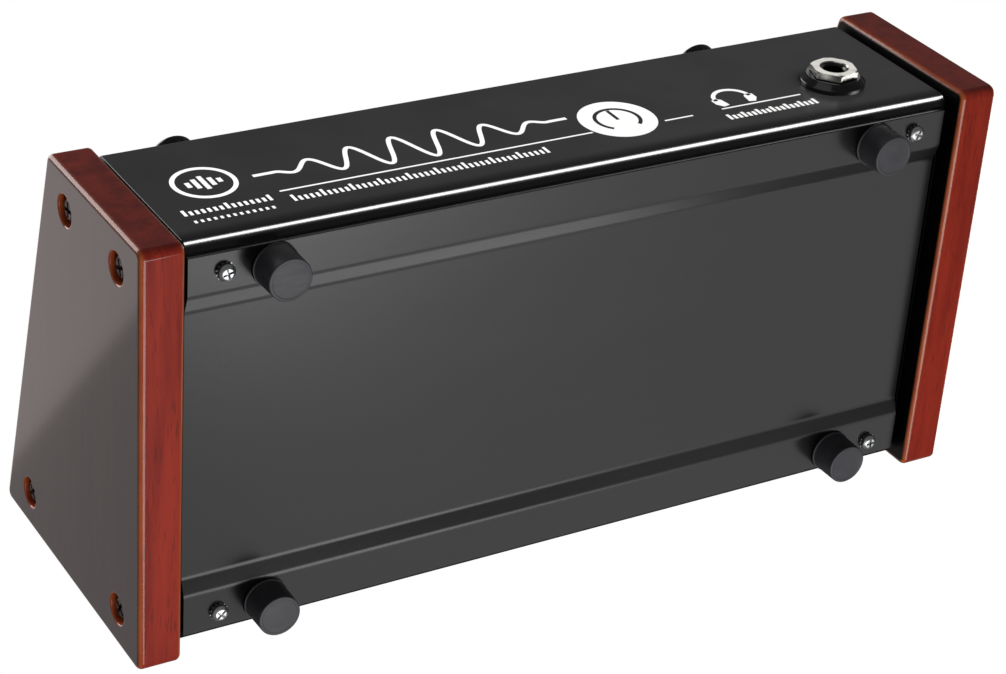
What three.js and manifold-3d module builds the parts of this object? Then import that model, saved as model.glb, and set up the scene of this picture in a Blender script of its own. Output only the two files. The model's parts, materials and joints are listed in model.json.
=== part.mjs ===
// Desktop passive monitor controller: a folded steel case with a sloping control panel,
// held between two lacquered wooden cheeks.
// Millimetres, +Z up. The front faces -Y and +X is the user's right. The origin is on the
// table, under the middle of the outline, and the four rubber feet rest on the plane z = 0.

import * as THREE from "three";
import { mergeVertices } from "three/addons/utils/BufferGeometryUtils.js";
import Module from "manifold-3d";

const wasm = await Module();
wasm.setup();

// ---------------------------------------------------------------- driving dimensions

const GAP = 0.3; // between pieces that touch

// Wooden cheeks
const LENGTH = 302; // over both cheeks
const CHEEK_THICK = 14;
const CHEEK_DEPTH = 143;
const CHEEK_FRONT_HEIGHT = 69;
const CHEEK_REAR_HEIGHT = 109.2;
const CHEEK_LIFT = 5.5; // table to the lower edge of the wood
const CHEEK_CORNER = 3;
const CHEEK_ARRIS = 1.2;
const CHEEK_SCREW_END = 12.9; // screw line to the front or rear edge
const CHEEK_SCREW_LOW = 17; // screw line to the lower edge
const CHEEK_SCREW_TOP = 17.3; // screw line to the sloping edge, measured upright
const COUNTERBORE_RADIUS = 5;
const COUNTERBORE_DEPTH = 3.9;

// Folded case
const CASE_LENGTH = 269.8;
const SHEET = 1.5;
const CASE_BEND = 2.2; // outer radius of the folds
const FRONT_RECESS = 3; // cheek edge to the front wall
const REAR_RECESS = 3;
const TOP_RECESS = 2; // square to the slope
const PLATE_RECESS = 5; // cheek edge up to the bottom plate
const FRONT_FLANGE = 16.9;
const REAR_FLANGE = 16.4;

// Bottom plate
const PLATE_LENGTH = 269;
const PLATE_THICK = 1.2;
const PLATE_FRONT = 4.4; // front wall to the edge of the plate
const PLATE_REAR = 2.7;
const FRONT_STRIP = 13;
const REAR_STRIP = 14.2;
const JOGGLE_RUN = 5.6;
const JOGGLE_RISE = 2;

// Feet and bottom screws
const FOOT_RADIUS = 6.9;
const FOOT_FLANGE = 0.4; // how far the rim of a foot stands out
const FOOT_STEM = 2.5;
const FOOT_HEIGHT = CHEEK_LIFT + PLATE_RECESS;
const FOOT_X = 107;
const FOOT_FRONT = 11.8; // foot centre to the front wall
const FOOT_REAR = 8.8; // foot centre to the rear wall
const BOTTOM_SCREW_X = 122.8;
const BOTTOM_SCREW_FRONT = 10.5;
const BOTTOM_SCREW_REAR = 8.8;

// Headphone socket in the front wall
const PHONES_X = 105.5;
const PHONES_Z = 34.3;
const WASHER_THICK = 2.8;
const WASHER_RADIUS = 10.8;
const NUT_THICK = 2.2;
const NUT_FLATS = 14;
const BUSH_RADIUS = 4.7;
const BORE_RADIUS = 3.4;
const SOCKET_WIDTH = 16;
const SOCKET_DEPTH = 27;

// Controls on the sloping panel; "along" runs up the slope from the front fold
const SOURCE_X = -103.2;
const LEVEL_X = 91;
const SMALL_KNOB_ALONG = 18.5;
const SMALL_KNOB_RADIUS = 7.4;
const SMALL_KNOB_TOP = 15; // above the panel
const VOLUME_X = 0;
const VOLUME_ALONG = 80;
const VOLUME_RADIUS = 22;
const VOLUME_TOP = 19;
const BUTTON_NAMES = ["mute", "dim", "mono"];
const BUTTON_X = -92;
const BUTTON_PITCH = 22;
const BUTTON_ALONG = 80;
const BUTTON_RADIUS = 4.5;
const BUTTON_TOP = 5;
const BOARD_TOP = -13.5; // upper face of the control board, below the panel face
const BOARD_THICK = 1.6;

// Sockets in the rear wall
const REAR_NAMES = ["input_1_left", "input_1_right", "input_2_left", "input_2_right",
  "output_left", "output_right"];
const REAR_X = [100, 70, 30, 0, -70, -100];
const REAR_Z = 44.5;

// ---------------------------------------------------------------- derived places

const SLOPE = Math.atan2(CHEEK_REAR_HEIGHT - CHEEK_FRONT_HEIGHT, CHEEK_DEPTH);
const PHONES_STACK = GAP + WASHER_THICK + GAP + NUT_THICK;
const PHONES_PROUD = PHONES_STACK - FRONT_RECESS; // past the front edge of the wood
const CHEEK_FRONT_Y = -(CHEEK_DEPTH - PHONES_PROUD) / 2;
const CHEEK_REAR_Y = CHEEK_FRONT_Y + CHEEK_DEPTH;
const CHEEK_INNER_X = LENGTH / 2 - CHEEK_THICK;
const FRONT_WALL_Y = CHEEK_FRONT_Y + FRONT_RECESS;
const REAR_WALL_Y = CHEEK_REAR_Y - REAR_RECESS;
const PLATE_Z = CHEEK_LIFT + PLATE_RECESS;
const CASE_Z = PLATE_Z + PLATE_THICK + GAP;
const CASE_BOTTOM_INSET = CASE_Z - CHEEK_LIFT;

const UP = new THREE.Vector3(0, 0, 1);
const RIGHT = new THREE.Vector3(1, 0, 0);
const BACK = new THREE.Vector3(0, 1, 0);
const v3 = (x, y, z) => new THREE.Vector3(x, y, z);

// ---------------------------------------------------------------- finishes

const finish = (color, roughness, metalness) => ({ color, roughness, metalness });
const LACQUERED_WOOD = finish(0x6e241c, 0.25, 0);
const BLACK_STEEL = finish(0x141414, 0.4, 0.4);
const CHARCOAL_STEEL = finish(0x3a3a3c, 0.5, 0.4);
const ZINC = finish(0x9fa1a3, 0.35, 1);
const DARK_ZINC = finish(0x3c3c3c, 0.4, 1);
const NICKEL = finish(0xc9c6bf, 0.25, 1);
const RUBBER = finish(0x2a2a2c, 0.85, 0);
const GLOSS_BLACK = finish(0x0a0a0b, 0.2, 0);
const MATT_BLACK = finish(0x18181a, 0.55, 0);
const SPUN_ALUMINIUM = finish(0xb8babc, 0.3, 1);
const CIRCUIT_BOARD = finish(0x1f4a2c, 0.6, 0);
const CABLE_GREY = finish(0x8a8d92, 0.6, 0);

// ---------------------------------------------------------------- making and cutting solids

function solidOf(geometry) {
  const bare = geometry.clone();
  bare.deleteAttribute("normal");
  bare.deleteAttribute("uv");
  const merged = mergeVertices(bare, 1e-4);
  const vertProperties = merged.getAttribute("position").array;
  const triVerts = new Uint32Array(merged.getIndex().array);
  return new wasm.Manifold(new wasm.Mesh({ numProp: 3, vertProperties, triVerts }));
}

function geometryOf(solid) {
  const mesh = solid.getMesh();
  const geometry = new THREE.BufferGeometry();
  geometry.setAttribute("position", new THREE.BufferAttribute(mesh.vertProperties, 3));
  geometry.setIndex(new THREE.BufferAttribute(mesh.triVerts, 1));
  geometry.computeVertexNormals();
  return geometry;
}

// A geometry with others joined on, then others cut away.
function carve(geometry, { join = [], cut = [] }) {
  let solid = solidOf(geometry);
  for (const piece of join) {
    solid = solid.add(solidOf(piece));
  }
  for (const piece of cut) {
    solid = solid.subtract(solidOf(piece));
  }
  return geometryOf(solid);
}

// A round bar from one point to another.
function rod(radius, from, to, sides = 16) {
  const along = to.clone().sub(from);
  const geometry = new THREE.CylinderGeometry(radius, radius, along.length(), sides);
  geometry.applyQuaternion(new THREE.Quaternion().setFromUnitVectors(BACK, along.clone().normalize()));
  return geometry.translate(...from.clone().add(to).multiplyScalar(0.5).toArray());
}

// A box between two corners.
function block(low, high) {
  const size = high.clone().sub(low);
  const middle = low.clone().add(high).multiplyScalar(0.5);
  return new THREE.BoxGeometry(...size.toArray()).translate(...middle.toArray());
}

// A body turned about Z from a list of [radius, height] points, lowest first.
function turned(profile, sides = 20) {
  const points = profile.map(([radius, height]) => new THREE.Vector2(radius, height));
  return new THREE.LatheGeometry(points, sides).rotateX(Math.PI / 2);
}

// A hexagonal nut lying on z = 0, with its hole.
function hexNut(flats, thick, holeRadius) {
  const corner = flats / Math.sqrt(3);
  const chamfer = 0.25 * thick;
  const body = turned([
    [0, 0],
    [corner, 0],
    [corner, thick - chamfer],
    [corner - chamfer, thick],
    [0, thick],
  ], 6);
  return carve(body, { cut: [rod(holeRadius, v3(0, 0, -1), v3(0, 0, thick + 1))] });
}

// The upright section of the case, inset from the outline of the cheeks.
function sectionCorners({ front, rear, top, bottom }) {
  const y0 = CHEEK_FRONT_Y + front;
  const y1 = CHEEK_REAR_Y - rear;
  const z0 = CHEEK_LIFT + bottom;
  return [[y0, z0], [y1, z0], [y1, slopeHeight(y1, top)], [y0, slopeHeight(y0, top)]];
}

// Height of the sloping edge of the cheeks at y, less an inset square to the slope.
function slopeHeight(y, inset) {
  const rise = (y - CHEEK_FRONT_Y) * Math.tan(SLOPE);
  return CHEEK_LIFT + CHEEK_FRONT_HEIGHT + rise - inset / Math.cos(SLOPE);
}

// A closed outline through the corners, each rounded off.
function roundedShape(corners, radius) {
  const shape = new THREE.Shape();
  const points = corners.map(([y, z]) => new THREE.Vector2(y, z));
  points.forEach((corner, i) => {
    const before = points.at(i - 1);
    const after = points[(i + 1) % points.length];
    const start = corner.clone().add(before.clone().sub(corner).setLength(radius));
    const end = corner.clone().add(after.clone().sub(corner).setLength(radius));
    if (i === 0) {
      shape.moveTo(start.x, start.y);
    } else {
      shape.lineTo(start.x, start.y);
    }
    shape.quadraticCurveTo(corner.x, corner.y, end.x, end.y);
  });
  shape.closePath();
  return shape;
}

// Extrudes a (y, z) outline along X, between x0 and x1, with rounded arrises if asked.
function slab(shape, x0, x1, arris = 0) {
  const geometry = new THREE.ExtrudeGeometry(shape, {
    depth: x1 - x0 - 2 * arris,
    curveSegments: 3,
    bevelEnabled: arris > 0,
    bevelThickness: arris,
    bevelSize: arris,
    bevelOffset: -arris,
    bevelSegments: 2,
  });
  geometry.translate(0, 0, x0 + arris);
  return geometry.applyMatrix4(new THREE.Matrix4().makeBasis(BACK, UP, RIGHT));
}

// A pan head screw with its head above z = 0 and its shank below, and a cross recess.
function panScrew({ head, height, shank, length }) {
  const rim = 0.55 * height;
  const shoulder = [0.78 * head, 0.92 * height];
  const body = turned([
    [0, -length],
    [shank, -length],
    [shank, 0],
    [head, 0],
    [head, rim],
    shoulder,
    [0, height],
  ], 12);
  const slotLong = 0.56 * head;
  const slotHalf = 0.13 * head;
  const floor = 0.3 * height;
  const bar = block(v3(-slotLong, -slotHalf, floor), v3(slotLong, slotHalf, height + 1));
  return carve(body, { cut: [bar, bar.clone().rotateZ(Math.PI / 2)] });
}

const part = new THREE.Group();
part.name = "monitor_controller";

// Adds one named piece, standing at a place and with its own +Z turned to face a direction.
function addPiece(name, geometry, look, { at = v3(0, 0, 0), facing = UP, group = part } = {}) {
  const mesh = new THREE.Mesh(geometry, new THREE.MeshStandardMaterial(look));
  mesh.name = name;
  mesh.position.copy(at);
  mesh.quaternion.setFromUnitVectors(UP, facing);
  group.add(mesh);
}

// ---------------------------------------------------------------- wooden cheeks

// Screw places on a cheek, as [name, y, z].
const CHEEK_SCREWS = [
  ["front_low", CHEEK_FRONT_Y + CHEEK_SCREW_END, CHEEK_LIFT + CHEEK_SCREW_LOW],
  ["rear_low", CHEEK_REAR_Y - CHEEK_SCREW_END, CHEEK_LIFT + CHEEK_SCREW_LOW],
  ["front_high", CHEEK_FRONT_Y + CHEEK_SCREW_END],
  ["rear_high", CHEEK_REAR_Y - CHEEK_SCREW_END],
].map(([name, y, z]) => [name, y, z ?? slopeHeight(y, 0) - CHEEK_SCREW_TOP]);

const SIDES = [["left", -1], ["right", 1]];
const CHEEK_SCREW = { head: 4.4, height: 2.6, shank: 2, length: 15.1 };
const SCREW_SEAT_X = LENGTH / 2 - COUNTERBORE_DEPTH;

function cheek(side) {
  const outline = roundedShape(sectionCorners({ front: 0, rear: 0, top: 0, bottom: 0 }), CHEEK_CORNER);
  const inner = side * CHEEK_INNER_X;
  const outer = (side * LENGTH) / 2;
  const board = slab(outline, Math.min(inner, outer), Math.max(inner, outer), CHEEK_ARRIS);
  const cut = [];
  for (const [, y, z] of CHEEK_SCREWS) {
    cut.push(rod(CHEEK_SCREW.shank + GAP, v3(inner - side, y, z), v3(outer, y, z), 10));
    cut.push(rod(COUNTERBORE_RADIUS, v3(side * SCREW_SEAT_X, y, z), v3(outer + side, y, z), 20));
  }
  return carve(board, { cut });
}

function addCheeks() {
  for (const [name, side] of SIDES) {
    addPiece(name + "_cheek", cheek(side), LACQUERED_WOOD);
    for (const [place, y, z] of CHEEK_SCREWS) {
      addPiece([name, "cheek_screw", place].join("_"), panScrew(CHEEK_SCREW), DARK_ZINC, {
        at: v3(side * (SCREW_SEAT_X + GAP), y, z),
        facing: v3(side, 0, 0),
      });
    }
  }
}

// ---------------------------------------------------------------- case

const CASE_INSETS = {
  front: FRONT_RECESS,
  rear: REAR_RECESS,
  top: TOP_RECESS,
  bottom: CASE_BOTTOM_INSET,
};

function insetBy(amount) {
  const grown = Object.entries(CASE_INSETS).map(([edge, inset]) => [edge, inset + amount]);
  return sectionCorners(Object.fromEntries(grown));
}

// The panel's own frame: origin on the outer face at the front fold, x to the right,
// y up the slope and z square out of the panel.
const PANEL = new THREE.Group();
PANEL.position.set(0, FRONT_WALL_Y, slopeHeight(FRONT_WALL_Y, TOP_RECESS));
PANEL.rotation.x = SLOPE;
PANEL.updateMatrix();
part.add(PANEL);

// A hole square through the panel.
function panelHole(x, along, radius) {
  return rod(radius, v3(x, along, -2 * SHEET), v3(x, along, SHEET)).applyMatrix4(PANEL.matrix);
}

// A hole through an upright wall whose outer face is at y.
function wallHole(x, y, z, radius) {
  return rod(radius, v3(x, y - 2 * SHEET, z), v3(x, y + 2 * SHEET, z));
}

// A hole through everything between the plate and the flanges.
function bottomHole(x, y, radius, low, high) {
  return rod(radius, v3(x, y, low), v3(x, y, high), 10);
}

const FEET = [];
const BOTTOM_SCREWS = [];
for (const [name, side] of SIDES) {
  FEET.push([name + "_front", side * FOOT_X, FRONT_WALL_Y + FOOT_FRONT]);
  FEET.push([name + "_rear", side * FOOT_X, REAR_WALL_Y - FOOT_REAR]);
  BOTTOM_SCREWS.push([name + "_front", side * BOTTOM_SCREW_X, FRONT_WALL_Y + BOTTOM_SCREW_FRONT]);
  BOTTOM_SCREWS.push([name + "_rear", side * BOTTOM_SCREW_X, REAR_WALL_Y - BOTTOM_SCREW_REAR]);
}

const BOTTOM_SCREW = { head: 2.8, height: 2.3, shank: 1.5, length: 6 };
const SHOULDER_RADIUS = BUSH_RADIUS + GAP + 1;
const VOLUME_BUSH = 4.5;
const SMALL_BUSH = 3.5;
const BUTTON_HOLE = BUTTON_RADIUS + 0.4;
const SMALL_CONTROLS = [["source", SOURCE_X, "switch"], ["phones_level", LEVEL_X, "pot"]];
const buttonX = (i) => BUTTON_X + i * BUTTON_PITCH;

// Front wall, sloping panel, rear wall and both lower flanges, folded from one sheet.
function controlCover() {
  const half = CASE_LENGTH / 2;
  const outer = slab(roundedShape(insetBy(0), CASE_BEND), -half, half);
  const hollow = slab(roundedShape(insetBy(SHEET), CASE_BEND - SHEET), -half - 1, half + 1);
  const opening = block(
    v3(-half - 1, FRONT_WALL_Y + FRONT_FLANGE, CASE_Z - 1),
    v3(half + 1, REAR_WALL_Y - REAR_FLANGE, CASE_Z + 2 * SHEET),
  );
  const cut = [hollow, opening];
  for (const [, x] of SMALL_CONTROLS) {
    cut.push(panelHole(x, SMALL_KNOB_ALONG, SMALL_BUSH + GAP));
  }
  cut.push(panelHole(VOLUME_X, VOLUME_ALONG, VOLUME_BUSH + GAP));
  BUTTON_NAMES.forEach((_, i) => cut.push(panelHole(buttonX(i), BUTTON_ALONG, BUTTON_HOLE)));
  cut.push(wallHole(PHONES_X, FRONT_WALL_Y, PHONES_Z, SHOULDER_RADIUS + GAP));
  REAR_X.forEach((x) => cut.push(wallHole(x, REAR_WALL_Y, REAR_Z, BUSH_RADIUS + GAP)));
  for (const [, x, y] of FEET) {
    cut.push(bottomHole(x, y, FOOT_STEM + 1.5, CASE_Z - 1, CASE_Z + SHEET + 1));
  }
  for (const [, x, y] of BOTTOM_SCREWS) {
    cut.push(bottomHole(x, y, BOTTOM_SCREW.shank + GAP, CASE_Z - 1, CASE_Z + SHEET + 1));
  }
  return carve(outer, { cut });
}

const TRAY_DEPTH = 10;
const TRAY_BEND = 1;
const BOSS_RADIUS = 3.6;
const BOSS_LENGTH = 3.5;

// A shallow tray that closes one end of the cover; the cheek screws into its four bosses.
function endTray(side) {
  const faceX = CHEEK_INNER_X - GAP;
  const lipX = faceX - SHEET - TRAY_DEPTH;
  const span = (from, to) => [side * from, side * to].sort((a, b) => a - b);
  const outline = roundedShape(insetBy(SHEET + GAP), TRAY_BEND);
  const innerLine = roundedShape(insetBy(2 * SHEET + GAP), TRAY_BEND / 2);
  const tray = slab(outline, ...span(lipX, faceX));
  const hollow = slab(innerLine, ...span(lipX - 1, faceX - SHEET));
  const bars = (radius, from, to) => CHEEK_SCREWS.map(([, y, z]) =>
    rod(radius, v3(side * from, y, z), v3(side * to, y, z), 10));
  const bosses = bars(BOSS_RADIUS, faceX - SHEET - BOSS_LENGTH, faceX - SHEET / 2);
  const threads = bars(CHEEK_SCREW.shank + GAP, faceX - TRAY_DEPTH, faceX + 1);
  const shell = carve(tray, { cut: [hollow] });
  return carve(shell, { join: bosses, cut: threads });
}

// The bottom plate: two flat strips with the middle stepped up between them.
function bottomPlate() {
  const y0 = FRONT_WALL_Y + PLATE_FRONT;
  const y3 = REAR_WALL_Y - PLATE_REAR;
  const under = [
    [y0, PLATE_Z],
    [y0 + FRONT_STRIP, PLATE_Z],
    [y0 + FRONT_STRIP + JOGGLE_RUN, PLATE_Z + JOGGLE_RISE],
    [y3 - REAR_STRIP - JOGGLE_RUN, PLATE_Z + JOGGLE_RISE],
    [y3 - REAR_STRIP, PLATE_Z],
    [y3, PLATE_Z],
  ];
  const above = under.map(([y, z]) => [y, z + PLATE_THICK]).reverse();
  const shape = new THREE.Shape([...under, ...above].map(([y, z]) => new THREE.Vector2(y, z)));
  const low = PLATE_Z - 1;
  const high = PLATE_Z + PLATE_THICK + 1;
  const cut = [
    ...FEET.map(([, x, y]) => bottomHole(x, y, FOOT_STEM + GAP, low, high)),
    ...BOTTOM_SCREWS.map(([, x, y]) => bottomHole(x, y, BOTTOM_SCREW.shank + GAP, low, high)),
  ];
  return carve(slab(shape, -PLATE_LENGTH / 2, PLATE_LENGTH / 2), { cut });
}

// A rubber foot: a round pad with a thin rim, and a stem that is pushed through the plate.
function foot() {
  const base = FOOT_HEIGHT - GAP;
  const rim = 0.9;
  const edge = 0.5;
  const draft = 0.15;
  const barb = 0.9;
  const throat = PLATE_Z + PLATE_THICK + GAP;
  const stemTop = throat + 1.3;
  return turned([
    [0, 0],
    [FOOT_RADIUS - edge, 0],
    [FOOT_RADIUS, edge],
    [FOOT_RADIUS + draft, base - rim],
    [FOOT_RADIUS + FOOT_FLANGE, base - rim],
    [FOOT_RADIUS + FOOT_FLANGE, base],
    [FOOT_STEM, base],
    [FOOT_STEM, throat],
    [FOOT_STEM + barb, throat],
    [FOOT_STEM - edge, stemTop],
    [0, stemTop],
  ]);
}

function addCase() {
  addPiece("control_cover", controlCover(), BLACK_STEEL);
  for (const [name, side] of SIDES) {
    addPiece(name + "_end_tray", endTray(side), BLACK_STEEL);
  }
  addPiece("bottom_plate", bottomPlate(), CHARCOAL_STEEL);
  for (const [place, x, y] of FEET) {
    addPiece("foot_" + place, foot(), RUBBER, { at: v3(x, y, 0) });
  }
  for (const [place, x, y] of BOTTOM_SCREWS) {
    addPiece("bottom_screw_" + place, panScrew(BOTTOM_SCREW), ZINC, {
      at: v3(x, y, PLATE_Z - GAP),
      facing: UP.clone().negate(),
    });
  }
}

// ---------------------------------------------------------------- sockets

const PLUG_DEPTH = 25; // bore past the wall
const HOUSING_BACK = 3;

// A 6.35 mm socket in its own frame: outer wall face on z = 0, mouth towards +Z.
// The bush stands proud of the wall by its reach and the square housing hangs behind.
function socket(reach, setBack) {
  const half = SOCKET_WIDTH / 2;
  const housingTop = -SHEET - setBack;
  const floor = housingTop - SOCKET_DEPTH;
  const housing = block(v3(-half, -half, floor), v3(half, half, housingTop));
  const bush = rod(BUSH_RADIUS, v3(0, 0, housingTop - 1), v3(0, 0, reach));
  const bore = rod(BORE_RADIUS, v3(0, 0, floor + HOUSING_BACK), v3(0, 0, reach + 1), 12);
  return carve(housing, { join: [bush], cut: [bore] });
}

// The tapered plastic washer under the front nut, whose shoulder fills the hole in the wall.
function shoulderWasher() {
  const edge = 1.5;
  const round = 0.3;
  const taper = 2;
  const inner = BUSH_RADIUS + GAP;
  return turned([
    [inner, -SHEET],
    [SHOULDER_RADIUS, -SHEET],
    [SHOULDER_RADIUS, GAP],
    [WASHER_RADIUS - round, GAP],
    [WASHER_RADIUS, GAP + edge],
    [WASHER_RADIUS - taper, GAP + WASHER_THICK],
    [inner, GAP + WASHER_THICK],
    [inner, -SHEET],
  ], 24);
}

function addSockets() {
  const front = { at: v3(PHONES_X, FRONT_WALL_Y, PHONES_Z), facing: v3(0, -1, 0) };
  addPiece("phones_socket", socket(PHONES_STACK, GAP), GLOSS_BLACK, front);
  addPiece("phones_washer", shoulderWasher(), GLOSS_BLACK, front);
  addPiece("phones_nut", hexNut(NUT_FLATS, NUT_THICK, BUSH_RADIUS + GAP), NICKEL, {
    ...front,
    at: v3(PHONES_X, FRONT_WALL_Y - 2 * GAP - WASHER_THICK, PHONES_Z),
  });
  REAR_NAMES.forEach((name, i) => {
    const place = { at: v3(REAR_X[i], REAR_WALL_Y, REAR_Z), facing: v3(0, 1, 0) };
    addPiece(name + "_socket", socket(GAP + NUT_THICK, GAP), GLOSS_BLACK, place);
    addPiece(name + "_nut", hexNut(NUT_FLATS, NUT_THICK, BUSH_RADIUS + GAP), MATT_BLACK, {
      ...place,
      at: v3(REAR_X[i], REAR_WALL_Y + GAP, REAR_Z),
    });
  });
}

// ---------------------------------------------------------------- controls on the panel

const SHAFT_RADIUS = 3;
const SMALL_SHAFT_RADIUS = 2;
const SHAFT_CLEAR = 0.35;
const UNDER_PANEL = -SHEET - GAP;
const BODY_FLOOR = BOARD_TOP + GAP; // lower face of the pots and switches
const SHAFT_FLOOR = BODY_FLOOR + 3;
const KNOB_LIFT = 0.8; // panel to the skirt of a knob
const SMALL_KNOB_ROOF = 2.5; // end of the shaft's bore to the top of a small knob
const SHAFT_END = 0.5; // end of a shaft to the end of its bore
const POINTER_HALF = 0.4; // half the width of a small knob's pointer groove
const POINTER_DEPTH = 0.4;

// Puts a piece in the panel's frame.
function addOnPanel(name, geometry, look, x, along) {
  addPiece(name, geometry, look, { at: v3(x, along, 0), group: PANEL });
}

// A small knob with a knurled grip, blind-bored for its shaft, with a pointer groove.
function smallKnob() {
  const crown = SMALL_KNOB_TOP;
  const edge = 0.8;
  const body = turned([
    [0, KNOB_LIFT],
    [SMALL_KNOB_RADIUS, KNOB_LIFT],
    [SMALL_KNOB_RADIUS, crown - edge],
    [SMALL_KNOB_RADIUS - edge, crown],
    [0, crown],
  ], 24);
  const bore = rod(SMALL_SHAFT_RADIUS + GAP, v3(0, 0, 0), v3(0, 0, crown - SMALL_KNOB_ROOF), 12);
  const groove = block(
    v3(-POINTER_HALF, 2, crown - POINTER_DEPTH),
    v3(POINTER_HALF, SMALL_KNOB_RADIUS + 1, crown + 1),
  );
  return carve(body, { cut: [bore, groove] });
}

// A pot or rotary switch: square housing, round collar up into the panel, blind bore.
function smallPot() {
  const half = 5.5;
  const roof = -5;
  const housing = block(v3(-half, -half, BODY_FLOOR), v3(half, half, roof));
  const collar = rod(SMALL_BUSH, v3(0, 0, roof - 1), v3(0, 0, -0.1));
  const bore = rod(SMALL_SHAFT_RADIUS + SHAFT_CLEAR, v3(0, 0, SHAFT_FLOOR - GAP), v3(0, 0, 1), 12);
  return carve(housing, { join: [collar], cut: [bore] });
}

// The big knob: a hollow skirted cup with a boss inside for the shaft and a seat for its cap.
const CAP_SEAT = 1.4;
const CAP_RADIUS = VOLUME_RADIUS - 2.5;
const VOLUME_WALL = 3;
const VOLUME_ROOF = 4;
const VOLUME_INSIDE = VOLUME_TOP - CAP_SEAT - VOLUME_ROOF;
const VOLUME_BOSS_FOOT = 5;

function volumeKnob() {
  const edge = 1;
  const body = turned([
    [0, KNOB_LIFT],
    [VOLUME_RADIUS, KNOB_LIFT],
    [VOLUME_RADIUS - edge, VOLUME_TOP - edge],
    [VOLUME_RADIUS - 2 * edge, VOLUME_TOP],
    [CAP_RADIUS + GAP, VOLUME_TOP],
    [CAP_RADIUS + GAP, VOLUME_TOP - CAP_SEAT],
    [0, VOLUME_TOP - CAP_SEAT],
  ], 40);
  const hollow = rod(VOLUME_RADIUS - VOLUME_WALL, v3(0, 0, 0), v3(0, 0, VOLUME_INSIDE), 24);
  const boss = rod(2 * SHAFT_RADIUS, v3(0, 0, VOLUME_BOSS_FOOT), v3(0, 0, VOLUME_INSIDE + 1));
  const bore = rod(SHAFT_RADIUS + GAP, v3(0, 0, 0), v3(0, 0, VOLUME_INSIDE + 3 * SHAFT_END));
  const cup = carve(body, { cut: [hollow] });
  return carve(cup, { join: [boss], cut: [bore] });
}

// The turned disc let into the top of the big knob, with a pointer groove.
function volumeCap() {
  const low = VOLUME_TOP - CAP_SEAT + GAP;
  const edge = 0.3;
  const half = 0.7;
  const margin = 1.5;
  const disc = turned([
    [0, low],
    [CAP_RADIUS, low],
    [CAP_RADIUS, VOLUME_TOP - edge],
    [CAP_RADIUS - edge, VOLUME_TOP],
    [0, VOLUME_TOP],
  ], 32);
  const groove = block(
    v3(-half, CAP_RADIUS / 2, VOLUME_TOP - half),
    v3(half, CAP_RADIUS - margin, VOLUME_TOP + 1),
  );
  return carve(disc, { cut: [groove] });
}

function volumePot() {
  const canRadius = 12;
  const can = rod(canRadius, v3(0, 0, BODY_FLOOR), v3(0, 0, UNDER_PANEL), 20);
  const bush = rod(VOLUME_BUSH, v3(0, 0, UNDER_PANEL - 1), v3(0, 0, GAP + NUT_THICK));
  const bore = rod(SHAFT_RADIUS + SHAFT_CLEAR, v3(0, 0, SHAFT_FLOOR - GAP), v3(0, 0, NUT_THICK + 1));
  return carve(can, { join: [bush], cut: [bore] });
}

// A push button: cap, a flange that keeps it under the panel, and the stem into its switch.
const SWITCH_TOP = -7;
const BUTTON_STEM = 1.5;
const BUTTON_FOOT = -9.2;
const BUTTON_FLANGE = 0.8;

function button() {
  const flangeFoot = UNDER_PANEL - 1;
  const edge = 0.7;
  return turned([
    [0, BUTTON_FOOT],
    [BUTTON_STEM, BUTTON_FOOT],
    [BUTTON_STEM, flangeFoot],
    [BUTTON_HOLE + BUTTON_FLANGE, flangeFoot],
    [BUTTON_HOLE + BUTTON_FLANGE, UNDER_PANEL],
    [BUTTON_RADIUS, UNDER_PANEL],
    [BUTTON_RADIUS, BUTTON_TOP - edge],
    [BUTTON_RADIUS - edge, BUTTON_TOP],
    [0, BUTTON_TOP],
  ]);
}

function buttonSwitch() {
  const half = 4.2;
  const floor = BODY_FLOOR + 0.8;
  const box = block(v3(-half, -half, BODY_FLOOR), v3(half, half, SWITCH_TOP));
  const bore = rod(BUTTON_STEM + SHAFT_CLEAR, v3(0, 0, floor), v3(0, 0, 0), 12);
  return carve(box, { cut: [bore] });
}

function addControls() {
  const smallShaftTop = SMALL_KNOB_TOP - SMALL_KNOB_ROOF - SHAFT_END;
  for (const [name, x, body] of SMALL_CONTROLS) {
    const shaft = rod(SMALL_SHAFT_RADIUS, v3(0, 0, SHAFT_FLOOR), v3(0, 0, smallShaftTop), 12);
    addOnPanel(name + "_knob", smallKnob(), GLOSS_BLACK, x, SMALL_KNOB_ALONG);
    addOnPanel(name + "_shaft", shaft, ZINC, x, SMALL_KNOB_ALONG);
    addOnPanel([name, body].join("_"), smallPot(), MATT_BLACK, x, SMALL_KNOB_ALONG);
  }
  const volumeShaft = rod(SHAFT_RADIUS, v3(0, 0, SHAFT_FLOOR), v3(0, 0, VOLUME_INSIDE));
  const volumeNut = hexNut(NUT_FLATS, NUT_THICK, VOLUME_BUSH + GAP).translate(0, 0, GAP);
  addOnPanel("volume_knob", volumeKnob(), MATT_BLACK, VOLUME_X, VOLUME_ALONG);
  addOnPanel("volume_cap", volumeCap(), SPUN_ALUMINIUM, VOLUME_X, VOLUME_ALONG);
  addOnPanel("volume_shaft", volumeShaft, ZINC, VOLUME_X, VOLUME_ALONG);
  addOnPanel("volume_pot", volumePot(), ZINC, VOLUME_X, VOLUME_ALONG);
  addOnPanel("volume_nut", volumeNut, NICKEL, VOLUME_X, VOLUME_ALONG);
  BUTTON_NAMES.forEach((name, i) => {
    addOnPanel(name + "_button", button(), MATT_BLACK, buttonX(i), BUTTON_ALONG);
    addOnPanel(name + "_switch", buttonSwitch(), GLOSS_BLACK, buttonX(i), BUTTON_ALONG);
  });
}

// ---------------------------------------------------------------- boards and internal leads

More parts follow.
